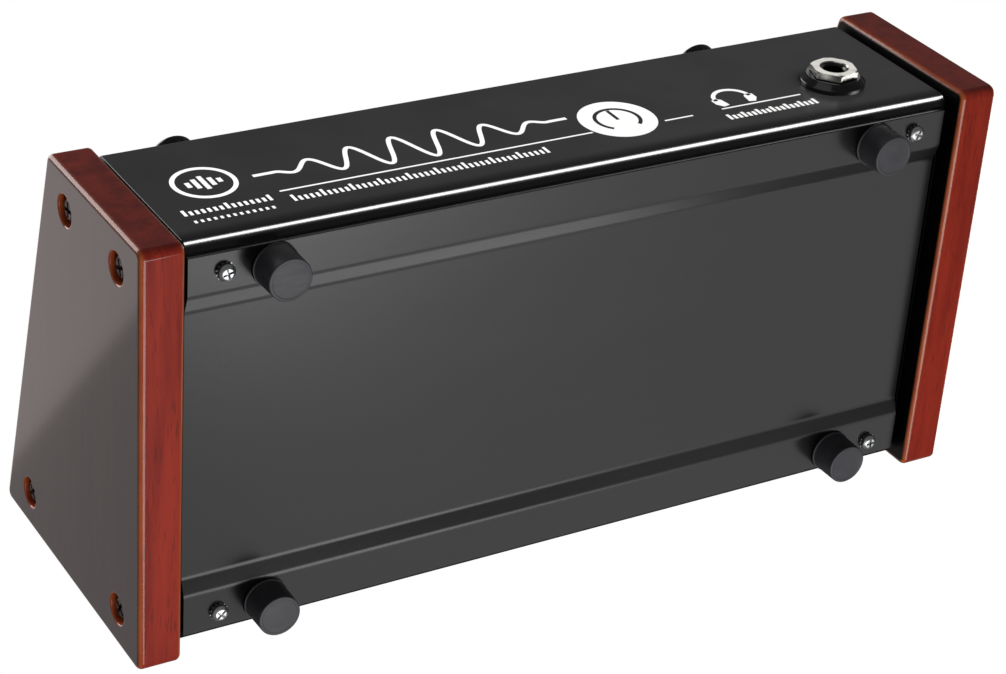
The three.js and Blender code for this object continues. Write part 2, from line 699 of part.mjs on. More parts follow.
const BOARD_HALF = 118;
const BOARD_NEAR = 8; // up the slope from the front fold
const BOARD_FAR = 98;
const STUD_RADIUS = 3;
const STUD_X = 60;
const STUD_ALONG = 30;
const REAR_BOARD_TOP = REAR_Z - SOCKET_WIDTH / 2 - GAP;
const REAR_BOARD_NEAR = REAR_WALL_Y - 34;
const REAR_BOARD_FAR = REAR_WALL_Y - SHEET - 2;
const RIBBON_X = 50;
const RIBBON_HALF = 8;
const RIBBON_THICK = 0.9;
const RIBBON_INSET = 12; // edge of the control board to the ribbon
const LEAD_RADIUS = 1.4;
const LEAD_LANDING_X = PHONES_X - 12;
const LEAD_LANDING_ALONG = 42.6;

// A cable of a given section swept along points in space.
function sweep(section, points, steps) {
  const path = new THREE.CatmullRomCurve3(points);
  return new THREE.ExtrudeGeometry(section, { extrudePath: path, steps, curveSegments: 2 });
}

// A point given in the panel's frame, as a point in the part's frame.
function fromPanel(x, along, out) {
  return v3(x, along, out).applyMatrix4(PANEL.matrix);
}

function ribbonCable() {
  const section = new THREE.Shape([
    new THREE.Vector2(-RIBBON_HALF, -RIBBON_THICK / 2),
    new THREE.Vector2(RIBBON_HALF, -RIBBON_THICK / 2),
    new THREE.Vector2(RIBBON_HALF, RIBBON_THICK / 2),
    new THREE.Vector2(-RIBBON_HALF, RIBBON_THICK / 2),
  ]);
  const boardFace = BOARD_TOP - BOARD_THICK - GAP;
  const landing = v3(RIBBON_X, REAR_BOARD_NEAR + 5, REAR_BOARD_TOP + GAP);
  return sweep(section, [
    fromPanel(RIBBON_X, BOARD_FAR - RIBBON_INSET, boardFace),
    fromPanel(RIBBON_X, BOARD_FAR - RIBBON_INSET, boardFace - 8),
    landing.clone().add(v3(0, -4, 20)),
    landing.clone().add(v3(0, 0, 8)),
    landing,
  ], 10);
}

function phonesLead() {
  const section = new THREE.Shape().absarc(0, 0, LEAD_RADIUS, 0, 2 * Math.PI);
  const back = v3(PHONES_X, FRONT_WALL_Y + SHEET + SOCKET_DEPTH + 2 * GAP, PHONES_Z);
  const board = fromPanel(LEAD_LANDING_X, LEAD_LANDING_ALONG, BOARD_TOP - BOARD_THICK - GAP);
  return sweep(section, [
    back,
    back.clone().add(v3(-1, 7, 0)),
    board.clone().add(v3(0, 2, -9)),
    board,
  ], 14);
}

function addBoards() {
  const board = block(
    v3(-BOARD_HALF, BOARD_NEAR, BOARD_TOP - BOARD_THICK),
    v3(BOARD_HALF, BOARD_FAR, BOARD_TOP),
  );
  addOnPanel("control_board", board, CIRCUIT_BOARD, 0, 0);
  for (const [name, side] of SIDES) {
    const stud = rod(STUD_RADIUS, v3(0, 0, BOARD_TOP + GAP), v3(0, 0, UNDER_PANEL), 10);
    addOnPanel("board_stud_" + name, stud, ZINC, side * STUD_X, STUD_ALONG);
  }
  const rearBoard = block(
    v3(-BOARD_HALF, REAR_BOARD_NEAR, REAR_BOARD_TOP - BOARD_THICK),
    v3(BOARD_HALF, REAR_BOARD_FAR, REAR_BOARD_TOP),
  );
  addPiece("rear_board", rearBoard, CIRCUIT_BOARD);
  addPiece("ribbon_cable", ribbonCable(), CABLE_GREY);
  addPiece("phones_lead", phonesLead(), CABLE_GREY);
}

addCheeks();
addCase();
addSockets();
addControls();
addBoards();

export default part;
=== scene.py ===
import json
import math

import bmesh
import bpy
from bpy.props import FloatProperty, FloatVectorProperty, IntProperty, PointerProperty
from mathutils import Matrix, Quaternion, Vector

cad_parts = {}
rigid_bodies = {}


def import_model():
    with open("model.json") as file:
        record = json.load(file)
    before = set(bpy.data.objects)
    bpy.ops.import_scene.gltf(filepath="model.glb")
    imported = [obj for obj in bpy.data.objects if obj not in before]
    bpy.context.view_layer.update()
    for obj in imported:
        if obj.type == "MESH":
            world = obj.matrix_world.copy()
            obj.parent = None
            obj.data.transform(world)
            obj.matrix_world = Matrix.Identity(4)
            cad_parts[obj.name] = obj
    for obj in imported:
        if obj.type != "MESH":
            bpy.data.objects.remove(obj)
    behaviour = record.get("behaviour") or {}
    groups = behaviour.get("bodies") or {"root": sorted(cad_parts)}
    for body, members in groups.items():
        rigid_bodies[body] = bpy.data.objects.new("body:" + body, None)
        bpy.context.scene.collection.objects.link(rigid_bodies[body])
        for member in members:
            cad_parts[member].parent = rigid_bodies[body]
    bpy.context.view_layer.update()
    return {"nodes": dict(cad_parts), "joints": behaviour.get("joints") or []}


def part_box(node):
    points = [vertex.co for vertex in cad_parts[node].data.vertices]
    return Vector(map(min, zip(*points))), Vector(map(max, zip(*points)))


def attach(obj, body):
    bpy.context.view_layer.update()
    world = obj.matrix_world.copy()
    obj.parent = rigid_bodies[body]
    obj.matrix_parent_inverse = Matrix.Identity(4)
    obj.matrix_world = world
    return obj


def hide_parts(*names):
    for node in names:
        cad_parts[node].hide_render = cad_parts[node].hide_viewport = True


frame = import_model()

bl_info = {
    "name": "Monitor controller finish",
    "version": (1, 0, 0),
    "blender": (4, 5, 0),
    "location": "View3D > Sidebar > Controller",
    "description": "Builds the finished pieces of a desktop monitor controller round its packed frame",
    "category": "Object",
}

MM = 0.001

# ---------------------------------------------------------------- places read from the frame

SIDES = (("left", -1), ("right", 1))
ENDS = ("front", "rear")
SMALL_KNOBS = ("source", "phones_level")
BUTTONS = ("mute", "dim", "mono")
REAR_SOCKETS = (
    "input_1_left", "input_1_right", "input_2_left", "input_2_right", "output_left", "output_right",
)
PIVOT_LIFT = 5 * MM  # a turning joint's anchor stands this far out of the panel
WOOD_PROUD = 2 * MM  # the cheeks' sloping edge over the panel
SHARP_EDGE = math.radians(30)  # faces that meet at a smaller angle are shaded as one


def joint(name):
    """The frame's joint of that name."""
    return next(j for j in frame["joints"] if j["name"] == name)


def middle(node):
    """The centre of a frame node's box."""
    low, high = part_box(node)
    return (low + high) / 2


OUT = Vector(joint("volume_turn")["axis"])  # square out of the sloping panel
RIGHT = Vector((1, 0, 0))
UPHILL = OUT.cross(RIGHT)
RISE = UPHILL.z / UPHILL.y  # of the slope, for each unit of depth
COVER_LOW, COVER_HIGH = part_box("control_cover")


def panel_base(name):
    """Where a turning control's axis leaves the panel."""
    return Vector(joint(name)["pos_m"]) - OUT * PIVOT_LIFT


VOLUME_BASE = panel_base("volume_turn")


def slope_z(y, out=0.0):
    """Height of the panel's plane at y, moved out square to itself."""
    return VOLUME_BASE.z + (y - VOLUME_BASE.y) * RISE + out / OUT.z


def axis_frame(base, outward, across=RIGHT):
    """A matrix whose origin is base, whose Z is outward and whose X is nearest to across."""
    z = outward.normalized()
    y = z.cross(across).normalized()
    x = y.cross(z)
    turn = Matrix((x, y, z)).transposed().to_4x4()
    return Matrix.Translation(base) @ turn


# ---------------------------------------------------------------- outlines and bodies

def fillet(points, radius, steps=6, closed=True):
    """Rounds the corners of a flat outline. radius is one number, or one for each corner."""
    radii = radius if isinstance(radius, (list, tuple)) else [radius] * len(points)
    rounded = []
    for i, r in enumerate(radii):
        corner = Vector(points[i])
        if r <= 0 or (not closed and i in (0, len(points) - 1)):
            rounded.append(corner)
            continue
        back = (Vector(points[i - 1]) - corner).normalized()
        ahead = (Vector(points[(i + 1) % len(points)]) - corner).normalized()
        half = back.angle(ahead) / 2
        centre = corner + (back + ahead).normalized() * (r / math.sin(half))
        start = corner + back * (r / math.tan(half)) - centre
        end = corner + ahead * (r / math.tan(half)) - centre
        turn = math.copysign(math.pi - 2 * half, start.cross(end))
        for step in range(steps + 1):
            rounded.append(centre + turned_by(start, turn * step / steps))
    return rounded


def turned_by(vector, angle):
    """A flat vector turned anticlockwise."""
    c, s = math.cos(angle), math.sin(angle)
    return Vector((vector.x * c - vector.y * s, vector.x * s + vector.y * c))


def inset(outline, distance):
    """Moves an anticlockwise outline inwards, square to its edges."""
    moved = []
    for i, point in enumerate(outline):
        into = (point - outline[i - 1]).normalized()
        away = (outline[(i + 1) % len(outline)] - point).normalized()
        first, second = Vector((-into.y, into.x)), Vector((-away.y, away.x))
        moved.append(point + (first + second) * (distance / (1 + first.dot(second))))
    return moved


def loft(rings):
    """A closed body through rings of points, with a flat face at each end."""
    bm = bmesh.new()
    loops = [[bm.verts.new(point) for point in ring] for ring in rings]
    for low, high in zip(loops, loops[1:]):
        for i in range(len(low)):
            bm.faces.new((low[i - 1], low[i], high[i], high[i - 1]))
    bm.faces.new(loops[0])
    bm.faces.new(loops[-1])
    bmesh.ops.recalc_face_normals(bm, faces=bm.faces)
    return bm


def prism(outline, low, high, arris, steps=4):
    """Extrudes a (y, z) outline along X, with its two ends rounded over."""
    sections = []
    for step in range(steps + 1):
        angle = math.pi / 2 * step / steps
        sections.append((arris * (1 - math.sin(angle)), arris * (1 - math.cos(angle))))
    stations = [(low + along, depth) for along, depth in reversed(sections)]
    stations += [(high - along, depth) for along, depth in sections]
    return loft([[(x, p.x, p.y) for p in inset(outline, depth)] for x, depth in stations])


def lathe(profile, sides=48, flutes=0):
    """Turns (radius, height) points about Z. The profile starts and ends on the axis, or else
    closes on itself. A third number in a point is how deep the flutes cut there."""
    bm = bmesh.new()
    loops = []
    for radius, height, *depth in profile:
        if radius < 1e-7:
            loops.append([bm.verts.new((0, 0, height))])
            continue
        ring = []
        for i in range(sides):
            angle = 2 * math.pi * i / sides
            r = radius - (depth[0] * abs(math.cos(flutes * angle / 2)) ** 3 if depth else 0)
            ring.append(bm.verts.new((r * math.cos(angle), r * math.sin(angle), height)))
        loops.append(ring)
    pairs = list(zip(loops, loops[1:]))
    if len(loops[0]) > 1:
        pairs.append((loops[-1], loops[0]))
    for low, high in pairs:
        for i in range(sides):
            j = (i + 1) % sides
            corners = [low[i % len(low)], low[j % len(low)], high[j % len(high)], high[i % len(high)]]
            corners = list(dict.fromkeys(corners))
            if len(corners) > 2:
                bm.faces.new(corners)
    bmesh.ops.recalc_face_normals(bm, faces=bm.faces)
    return bm


def bar(outline, low, high, taper=1.0):
    """Extrudes an (x, y) outline along Z. taper is the size of its lower end."""
    bottom = [(p[0] * taper, p[1] * taper, low) for p in outline]
    return loft([bottom, [(p[0], p[1], high) for p in outline]])


def placed(bm, matrix):
    """The same body, moved."""
    bmesh.ops.transform(bm, matrix=matrix, verts=bm.verts)
    return bm


def joined(*bodies):
    """Several separate bodies as one mesh."""
    whole = bmesh.new()
    for bm in bodies:
        part = to_mesh(bm)
        whole.from_mesh(part)
        bpy.data.meshes.remove(part)
    return whole


def to_mesh(bm, name="part"):
    """Ends a bmesh and returns it as a mesh."""
    mesh = bpy.data.meshes.new(name)
    bm.to_mesh(mesh)
    bm.free()
    return mesh


def boolean(bm, tool, operation="DIFFERENCE"):
    """The body cut by the tool, or what the two share."""
    work = bpy.data.objects.new("work", to_mesh(bm))
    cutter = bpy.data.objects.new("cutter", to_mesh(tool))
    for o in (work, cutter):
        bpy.context.scene.collection.objects.link(o)
    modifier = work.modifiers.new("cut", "BOOLEAN")
    modifier.operation = operation
    modifier.solver = "EXACT"
    modifier.object = cutter
    depsgraph = bpy.context.evaluated_depsgraph_get()
    result = bmesh.new()
    result.from_mesh(work.evaluated_get(depsgraph).to_mesh())
    for o in (work, cutter):
        mesh = o.data
        bpy.data.objects.remove(o)
        bpy.data.meshes.remove(mesh)
    if not result.faces:
        raise RuntimeError("a cut left nothing behind")
    return result


def piece(name, bm, look, body="root", stands_for=()):
    """Makes a finished piece that rides on a body and stands for frame nodes."""
    for edge in bm.edges:
        edge.smooth = len(edge.link_faces) == 2 and edge.calc_face_angle(0) < SHARP_EDGE
    for face in bm.faces:
        face.smooth = True
    obj = bpy.data.objects.new(name, to_mesh(bm, name))
    bpy.context.scene.collection.objects.link(obj)
    obj.data.materials.append(look)
    modifier = obj.modifiers.new("Even shading", "WEIGHTED_NORMAL")
    modifier.keep_sharp = True
    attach(obj, body)
    if stands_for:
        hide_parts(*stands_for)
    return obj


# ---------------------------------------------------------------- materials

class Nodes:
    """Adds nodes to a tree, with their inputs set or joined."""

    def __init__(self, tree):
        self.tree = tree

    def add(self, kind, inputs=None, **settings):
        node = self.tree.nodes.new(kind)
        for key, value in settings.items():
            setattr(node, key, value)
        for key, value in (inputs or {}).items():
            if isinstance(value, bpy.types.NodeSocket):
                self.tree.links.new(value, node.inputs[key])
            else:
                node.inputs[key].default_value = value
        return node

    def math(self, operation, *values):
        return self.add("ShaderNodeMath", dict(enumerate(values)), operation=operation).outputs[0]

    def noise(self, where, scale, detail=2.0, roughness=0.5):
        inputs = {"Vector": where, "Scale": scale, "Detail": detail, "Roughness": roughness}
        return self.add("ShaderNodeTexNoise", inputs).outputs["Fac"]

    def span(self, value, low, high, to_low=0.0, to_high=1.0):
        """A value's range, eased into another."""
        inputs = {"Value": value, "From Min": low, "From Max": high, "To Min": to_low, "To Max": to_high}
        return self.add("ShaderNodeMapRange", inputs, interpolation_type="SMOOTHSTEP").outputs["Result"]

    def mix(self, factor, first, second):
        """A colour between two, each a socket or three numbers."""
        inputs = {"Factor": factor, "A": solid(first), "B": solid(second)}
        node = self.tree.nodes.new("ShaderNodeMix")
        node.data_type = "RGBA"
        for key, socket in zip(("Factor", "A", "B"), (node.inputs[0], node.inputs[6], node.inputs[7])):
            if isinstance(inputs[key], bpy.types.NodeSocket):
                self.tree.links.new(inputs[key], socket)
            else:
                socket.default_value = inputs[key]
        return node.outputs[2]

    def where(self):
        return self.add("ShaderNodeTexCoord").outputs["Object"]


def solid(colour):
    """A colour with its alpha, or the socket as it is."""
    if isinstance(colour, bpy.types.NodeSocket):
        return colour
    return (*tuple(colour)[:3], 1.0)


def new_group(name, inputs, outputs):
    """An empty shader node group, with (name, socket type, default) inputs and (name, type) outputs."""
    tree = bpy.data.node_groups.new(name, "ShaderNodeTree")
    for title, kind, default in inputs:
        socket = tree.interface.new_socket(title, in_out="INPUT", socket_type=kind)
        socket.default_value = default
    for title, kind in outputs:
        tree.interface.new_socket(title, in_out="OUTPUT", socket_type=kind)
    nodes = Nodes(tree)
    return nodes, nodes.add("NodeGroupInput").outputs, nodes.add("NodeGroupOutput").inputs


def powder_group():
    """Fine orange-peel height and a slow change of tone."""
    nodes, given, result = new_group(
        "Surface Texture",
        [("Grain", "NodeSocketFloat", 1500.0), ("Drift", "NodeSocketFloat", 30.0)],
        [("Height", "NodeSocketFloat"), ("Tone", "NodeSocketFloat")],
    )
    where = nodes.where()
    fine = nodes.noise(where, given["Grain"], 2.0)
    coarse = nodes.noise(where, nodes.math("MULTIPLY", given["Grain"], 0.31), 1.0)
    height = nodes.math("MULTIPLY_ADD", coarse, 0.6, nodes.math("MULTIPLY", fine, 0.4))
    nodes.tree.links.new(height, result["Height"])
    nodes.tree.links.new(nodes.span(nodes.noise(where, given["Drift"], 3.0), 0.3, 0.7), result["Tone"])
    return nodes.tree


def wear_group():
    """Faint wipes, which dull a surface in streaks, and specks of dust."""
    nodes, given, result = new_group(
        "Handling Marks",
        [("Wipe", "NodeSocketFloat", 25.0), ("Amount", "NodeSocketFloat", 0.1)],
        [("Dulling", "NodeSocketFloat"), ("Dust", "NodeSocketFloat")],
    )
    where = nodes.where()
    drawn = nodes.add(
        "ShaderNodeMapping", {"Vector": where, "Rotation": (0.3, 0.2, 0.5), "Scale": (1.0, 6.0, 3.0)}
    ).outputs["Vector"]
    wipes = nodes.span(nodes.noise(drawn, given["Wipe"], 4.0, 0.6), 0.35, 0.75)
    specks = nodes.span(nodes.noise(where, 900.0, 0.0), 0.74, 0.82)
    patches = nodes.span(nodes.noise(where, 18.0, 2.0), 0.5, 0.8)
    nodes.tree.links.new(nodes.math("MULTIPLY", wipes, given["Amount"]), result["Dulling"])
    nodes.tree.links.new(nodes.math("MULTIPLY", specks, patches), result["Dust"])
    return nodes.tree


def rings_group():
    """Fine rings round an axis, as a lathe tool leaves them."""
    nodes, given, result = new_group(
        "Turned Rings",
        [
            ("Centre", "NodeSocketVector", (0, 0, 0)),
            ("Axis", "NodeSocketVector", (0, 0, 1)),
            ("Pitch", "NodeSocketFloat", 9000.0),
        ],
        [("Height", "NodeSocketFloat")],
    )
    arm = nodes.add("ShaderNodeVectorMath", {0: nodes.where(), 1: given["Centre"]}, operation="SUBTRACT")
    cross = nodes.add(
        "ShaderNodeVectorMath", {0: arm.outputs[0], 1: given["Axis"]}, operation="CROSS_PRODUCT"
    )
    radius = nodes.add("ShaderNodeVectorMath", {0: cross.outputs[0]}, operation="LENGTH").outputs["Value"]
    rings = nodes.math("SINE", nodes.math("MULTIPLY", radius, given["Pitch"]))
    flat = nodes.add("ShaderNodeCombineXYZ", {"X": nodes.math("MULTIPLY", radius, 2500.0)}).outputs[0]
    uneven = nodes.noise(flat, 1.0, 2.0)
    nodes.tree.links.new(nodes.math("MULTIPLY_ADD", rings, 0.3, uneven), result["Height"])
    return nodes.tree


def group_in(nodes, tree, inputs):
    """A node group placed in a material with its own values."""
    node = nodes.tree.nodes.new("ShaderNodeGroup")
    node.node_tree = tree
    for key, value in inputs.items():
        node.inputs[key].default_value = value
    return node.outputs


class Looks:
    """Every finish, made once and looked up by name."""

    made = {}
    groups = {}

    @classmethod
    def group(cls, maker):
        if maker.__name__ not in cls.groups:
            cls.groups[maker.__name__] = maker()
        return cls.groups[maker.__name__]

    @classmethod
    def get(cls, maker, *values):
        key = (maker.__name__, *values)
        if key not in cls.made:
            cls.made[key] = maker(*values)
        return cls.made[key]


def new_material(name):
    """An empty node material, and its nodes."""
    material = bpy.data.materials.new(name)
    material.use_nodes = True
    material.node_tree.nodes.clear()
    return material, Nodes(material.node_tree)


def finish_with(nodes, height=None, lift=0.02, **sockets):
    """Ends a material in a Principled shader. height feeds its bump, lift is in millimetres."""
    inputs = {key.replace("_", " "): value for key, value in sockets.items()}
    if height is not None:
        bump = nodes.add("ShaderNodeBump", {"Height": height, "Distance": lift * MM, "Strength": 1.0})
        inputs["Normal"] = bump.outputs["Normal"]
    shader = nodes.add("ShaderNodeBsdfPrincipled", inputs)
    nodes.add("ShaderNodeOutputMaterial", {"Surface": shader.outputs[0]})


def painted(name, colour, roughness, grain, lift, drift=30.0, dulling=0.08, drifted=None, dust=0.04):
    """Powder coat, moulded plastic or rubber: a fine texture and faint handling marks."""
    material, nodes = new_material(name)
    texture = group_in(nodes, Looks.group(powder_group), {"Grain": grain, "Drift": drift})
    marks = group_in(nodes, Looks.group(wear_group), {"Wipe": drift, "Amount": dulling})
    lighter = drifted or [min(1.0, 1.25 * c + 0.002) for c in colour]
    base = nodes.mix(texture["Tone"], colour, lighter)
    dusty = nodes.mix(nodes.math("MULTIPLY", marks["Dust"], dust), base, (0.35, 0.34, 0.33))
    shine = nodes.math("ADD", marks["Dulling"], roughness)
    finish_with(nodes, texture["Height"], lift, Base_Color=dusty, Roughness=shine)
    return material


def plated(name, colour, roughness, grain=600.0, lift=0.004, stain=None):
    """Plated or turned metal, a little uneven and faintly stained."""
    material, nodes = new_material(name)
    texture = group_in(nodes, Looks.group(powder_group), {"Grain": grain, "Drift": 120.0})
    marks = group_in(nodes, Looks.group(wear_group), {"Wipe": 90.0, "Amount": 0.12})
    darker = stain or [0.72 * c for c in colour]
    base = nodes.mix(nodes.math("MULTIPLY", texture["Tone"], 0.5), colour, darker)
    shine = nodes.math("ADD", marks["Dulling"], roughness)
    finish_with(nodes, texture["Height"], lift, Base_Color=base, Roughness=shine, Metallic=1.0)
    return material


def spun(name, colour, centre, axis):
    """Aluminium with rings left by turning."""
    material, nodes = new_material(name)
    rings = group_in(nodes, Looks.group(rings_group), {"Centre": centre, "Axis": axis, "Pitch": 14000.0})
    marks = group_in(nodes, Looks.group(wear_group), {"Wipe": 60.0, "Amount": 0.1})
    base = nodes.mix(marks["Dulling"], colour, [0.8 * c for c in colour])
    shine = nodes.math("ADD", marks["Dulling"], 0.24)
    finish_with(nodes, rings["Height"], 0.006, Base_Color=base, Roughness=shine, Metallic=1.0)
    return material


def lacquered_wood():
    """Red-brown stained wood under clear gloss, with a darker face and a bright rubbed arris."""
    wood = bpy.context.scene.controller_wood
    material, nodes = new_material("lacquered_mahogany")
    where = nodes.where()
    drawn = nodes.add("ShaderNodeMapping", {"Vector": where, "Scale": (1.0, 0.09, 1.0)}).outputs["Vector"]
    figure = nodes.noise(drawn, 160.0, 6.0, 0.62)
    streaks = nodes.span(figure, 0.32, 0.68)
    pores = nodes.span(nodes.noise(drawn, 1400.0, 1.0), 0.6, 0.72)
    cloud = nodes.span(nodes.noise(where, 22.0, 2.0), 0.35, 0.65)
    edge_tone = nodes.mix(streaks, wood.stain, wood.heart)
    edge_tone = nodes.mix(nodes.math("MULTIPLY", cloud, 0.35), edge_tone, wood.heart)
    facing = nodes.add(
        "ShaderNodeSeparateXYZ", {0: nodes.add("ShaderNodeTexCoord").outputs["Normal"]}
    ).outputs["X"]
    broad = nodes.span(nodes.math("ABSOLUTE", facing), 0.75, 0.98)
    face_tone = nodes.mix(streaks, wood.face, [0.6 * c for c in wood.face])
    tone = nodes.mix(broad, edge_tone, face_tone)
    tone = nodes.mix(nodes.math("MULTIPLY", pores, 0.35), tone, (0.012, 0.004, 0.003))
    rubbed = nodes.add("ShaderNodeAttribute", attribute_name="rubbed").outputs["Fac"]
    worn = nodes.math("MULTIPLY", rubbed, nodes.span(nodes.noise(where, 70.0, 3.0), 0.2, 0.6, 0.45, 1.0))
    tone = nodes.mix(worn, tone, wood.arris_tone)
    # painted shade: the face against the case is coloured near black and given little coat
    hidden = nodes.add("ShaderNodeAttribute", attribute_name="hidden").outputs["Fac"]
    tone = nodes.mix(hidden, tone, (0.002, 0.0015, 0.0015))
    finish_with(
        nodes, figure, 0.003, Base_Color=tone, Roughness=0.42, Specular_IOR_Level=0.15,
        Coat_Weight=nodes.math("MULTIPLY_ADD", hidden, -0.75, 0.8), Coat_Roughness=0.065, Coat_IOR=1.5,
    )
    return material


def circuit_board():
    """Green solder mask over fine copper tracks, with a few pads."""
    material, nodes = new_material("circuit_board")
    where = nodes.where()
    tracks = nodes.add("ShaderNodeTexBrick", {"Vector": where, "Scale": 90.0, "Mortar Size": 0.06})
    pads = nodes.add("ShaderNodeTexVoronoi", {"Vector": where, "Scale": 260.0}).outputs["Distance"]
    mask = nodes.mix(tracks.outputs["Fac"], (0.010, 0.060, 0.022), (0.020, 0.110, 0.040))
    spots = nodes.span(pads, 0.16, 0.10)
    base = nodes.mix(spots, mask, (0.55, 0.52, 0.45))
    texture = group_in(nodes, Looks.group(powder_group), {"Grain": 900.0, "Drift": 40.0})
    finish_with(nodes, texture["Height"], 0.01, Base_Color=base, Roughness=0.4)
    return material


def ribbon():
    """Grey ribbon cable with its cores showing as fine ribs and one red edge."""
    material, nodes = new_material("ribbon_cable_grey")
    x = nodes.add("ShaderNodeSeparateXYZ", {0: nodes.where()}).outputs["X"]
    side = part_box("ribbon_cable")[0].x
    pitch = 1.27 * MM
    ribs = nodes.math("SINE", nodes.math("MULTIPLY", x, 2 * math.pi / pitch))
    edge = nodes.span(x, side + 1.0 * MM, side + 1.4 * MM, 1.0, 0.0)
    base = nodes.mix(edge, (0.30, 0.31, 0.33), (0.45, 0.03, 0.03))
    finish_with(nodes, ribs, 0.1, Base_Color=base, Roughness=0.5)
    return material


def gloss_black():
    return painted("gloss_black_plastic", (0.006, 0.006, 0.007), 0.12, 700.0, 0.002, dulling=0.06)


def satin_black():
    return painted("satin_black_plastic", (0.010, 0.010, 0.011), 0.34, 1800.0, 0.006)


def nickel():
    return plated("bright_nickel", (0.70, 0.68, 0.63), 0.16)


def zinc():
    return plated("zinc_plate", (0.66, 0.67, 0.68), 0.28)


def blackened_steel():
    return plated("blackened_steel", (0.085, 0.082, 0.080), 0.30, stain=(0.03, 0.03, 0.03))


def black_coat():
    """Black powder coat, painted near black along the lower folds as shade."""
    case = bpy.context.scene.controller_case
    material, nodes = new_material("black_powder_coat")
    texture = group_in(nodes, Looks.group(powder_group), {"Grain": 1500.0, "Drift": 30.0})
    marks = group_in(nodes, Looks.group(wear_group), {"Wipe": 30.0, "Amount": 0.03})
    place = nodes.add("ShaderNodeSeparateXYZ", {0: nodes.where()}).outputs
    # painted shade: the coat is coloured near black along the lower folds and flanges, and the same mask
    # dulls the rear fold
    painted_fold_shade = nodes.span(place["Z"], COVER_LOW.z + case.fold, COVER_LOW.z + 3.5 * case.fold, 1.0, 0.0)
    behind = nodes.math("MULTIPLY", painted_fold_shade, nodes.span(place["Y"], 0.0, 10 * MM))
    base = nodes.mix(texture["Tone"], case.cover_colour, [1.25 * c for c in case.cover_colour])
    base = nodes.mix(painted_fold_shade, base, [0.1 * c for c in case.cover_colour])
    shine = nodes.math("ADD", marks["Dulling"], 0.23)
    finish_with(
        nodes, texture["Height"], 0.006, Base_Color=base, Roughness=shine,
        Specular_IOR_Level=nodes.math("MULTIPLY_ADD", behind, -0.48, 0.5),
    )
    return material


def inner_black():
    return painted("black_inner_steel", (0.008, 0.008, 0.008), 0.45, 1500.0, 0.01)


def charcoal_coat():
    case = bpy.context.scene.controller_case
    return painted(
        "charcoal_powder_coat", tuple(case.plate_colour), 0.24, 1300.0, 0.008, drift=9.0, dulling=0.03
    )


def rubber():
    fittings = bpy.context.scene.controller_fittings
    return painted("foot_rubber", tuple(fittings.rubber_colour), 0.5, 1100.0, 0.014, drift=150.0)


def grey_plastic():
    return painted("switch_grey", (0.025, 0.025, 0.028), 0.42, 1500.0, 0.01)


def lead_sleeve():
    return painted("lead_sleeve", (0.05, 0.05, 0.055), 0.45, 1500.0, 0.01)


def ink():
    colour = tuple(bpy.context.scene.controller_print.ink_colour)
    return painted("white_ink", colour, 0.45, 2500.0, 0.004, drifted=[0.93 * c for c in colour])


def dark_ink():
    return painted("dark_ink", (0.012, 0.012, 0.013), 0.4, 2500.0, 0.004)


# ---------------------------------------------------------------- settings

def length(name, description, default, **extra):
    """A size in millimetres, held in metres."""
    return FloatProperty(
        name=name, description=description, default=default * MM, unit="LENGTH", precision=5, **extra
    )


def colour(name, description, default):
    return FloatVectorProperty(
        name=name, description=description, default=default, size=3, min=0, max=1, subtype="COLOR"
    )


class WoodSettings(bpy.types.PropertyGroup):
    corner: length("Corner", "Radius of the cheeks' corners seen from the side", 3.0)
    arris: length("Arris", "Radius of the cheeks' long edges", 1.8)
    counterbore: length("Counterbore", "Radius of the recess round each cheek screw", 5.0)
    seat: length("Seat depth", "Depth of the recess round each cheek screw", 3.9)
    rim: length("Rim", "Rounding of the recess's mouth", 0.6)
    stain: colour("Stain", "Dark streaks on the narrow edges", (0.28, 0.014, 0.006))
    heart: colour("Heart", "Light streaks on the narrow edges", (0.52, 0.038, 0.014))
    face: colour("Face", "Stain on the broad faces", (0.026, 0.012, 0.008))
    arris_tone: colour("Rubbed arris", "Where the stain is thin along the edges", (0.66, 0.15, 0.045))


class CaseSettings(bpy.types.PropertyGroup):
    sheet: length("Sheet", "Thickness of the folded cover", 1.5)
    fold: length("Fold", "Outer radius of the cover's folds", 2.2)
    front_flange: length("Front flange", "Depth of the front flange", 16.9)
    rear_flange: length("Rear flange", "Depth of the rear flange", 16.4)
    plate_sheet: length("Plate sheet", "Thickness of the bottom plate", 1.2)
    front_strip: length("Front strip", "Depth of the plate's front strip", 13.0)
    rear_strip: length("Rear strip", "Depth of the plate's rear strip", 14.2)
    step_run: length("Step run", "Depth of each sloping step", 5.6)
    step_bend: length("Step bend", "Radius of the step's bends", 5.0)
    cover_colour: colour("Cover", "Powder coat on the cover", (0.0060, 0.0060, 0.0062))
    plate_colour: colour("Plate", "Powder coat on the bottom plate", (0.010, 0.010, 0.011))


class FittingSettings(bpy.types.PropertyGroup):
    foot_radius: length("Foot radius", "Radius of a foot", 6.9)
    foot_rim: length("Foot rim", "How far the foot's flange stands out", 0.4)
    nut_flats: length("Nut", "Across the flats of the socket nuts", 14.0)
    nut_thick: length("Nut thickness", "Thickness of the socket nuts", 2.2)
    bush_radius: length("Bush", "Radius of a socket's threaded bush", 4.45)
    bore_radius: length("Bore", "Radius of a socket's bore", 3.4)
    rubber_colour: colour("Rubber", "Colour of the feet", (0.060, 0.059, 0.068))


class ControlSettings(bpy.types.PropertyGroup):
    volume_radius: length("Volume knob", "Radius of the volume knob", 22.0)
    volume_top: length("Volume height", "Top of the volume knob over the panel", 19.0)
    volume_flutes: IntProperty(name="Flutes", description="Flutes round the volume knob", default=48)
    small_radius: length("Small knob", "Radius of the small knobs", 7.4)
    small_top: length("Small height", "Top of the small knobs over the panel", 15.0)
    small_flutes: IntProperty(name="Small flutes", description="Flutes round a small knob", default=18)
    button_radius: length("Button", "Radius of the buttons", 4.5)
    button_top: length("Button height", "Top of the buttons over the panel", 5.0)


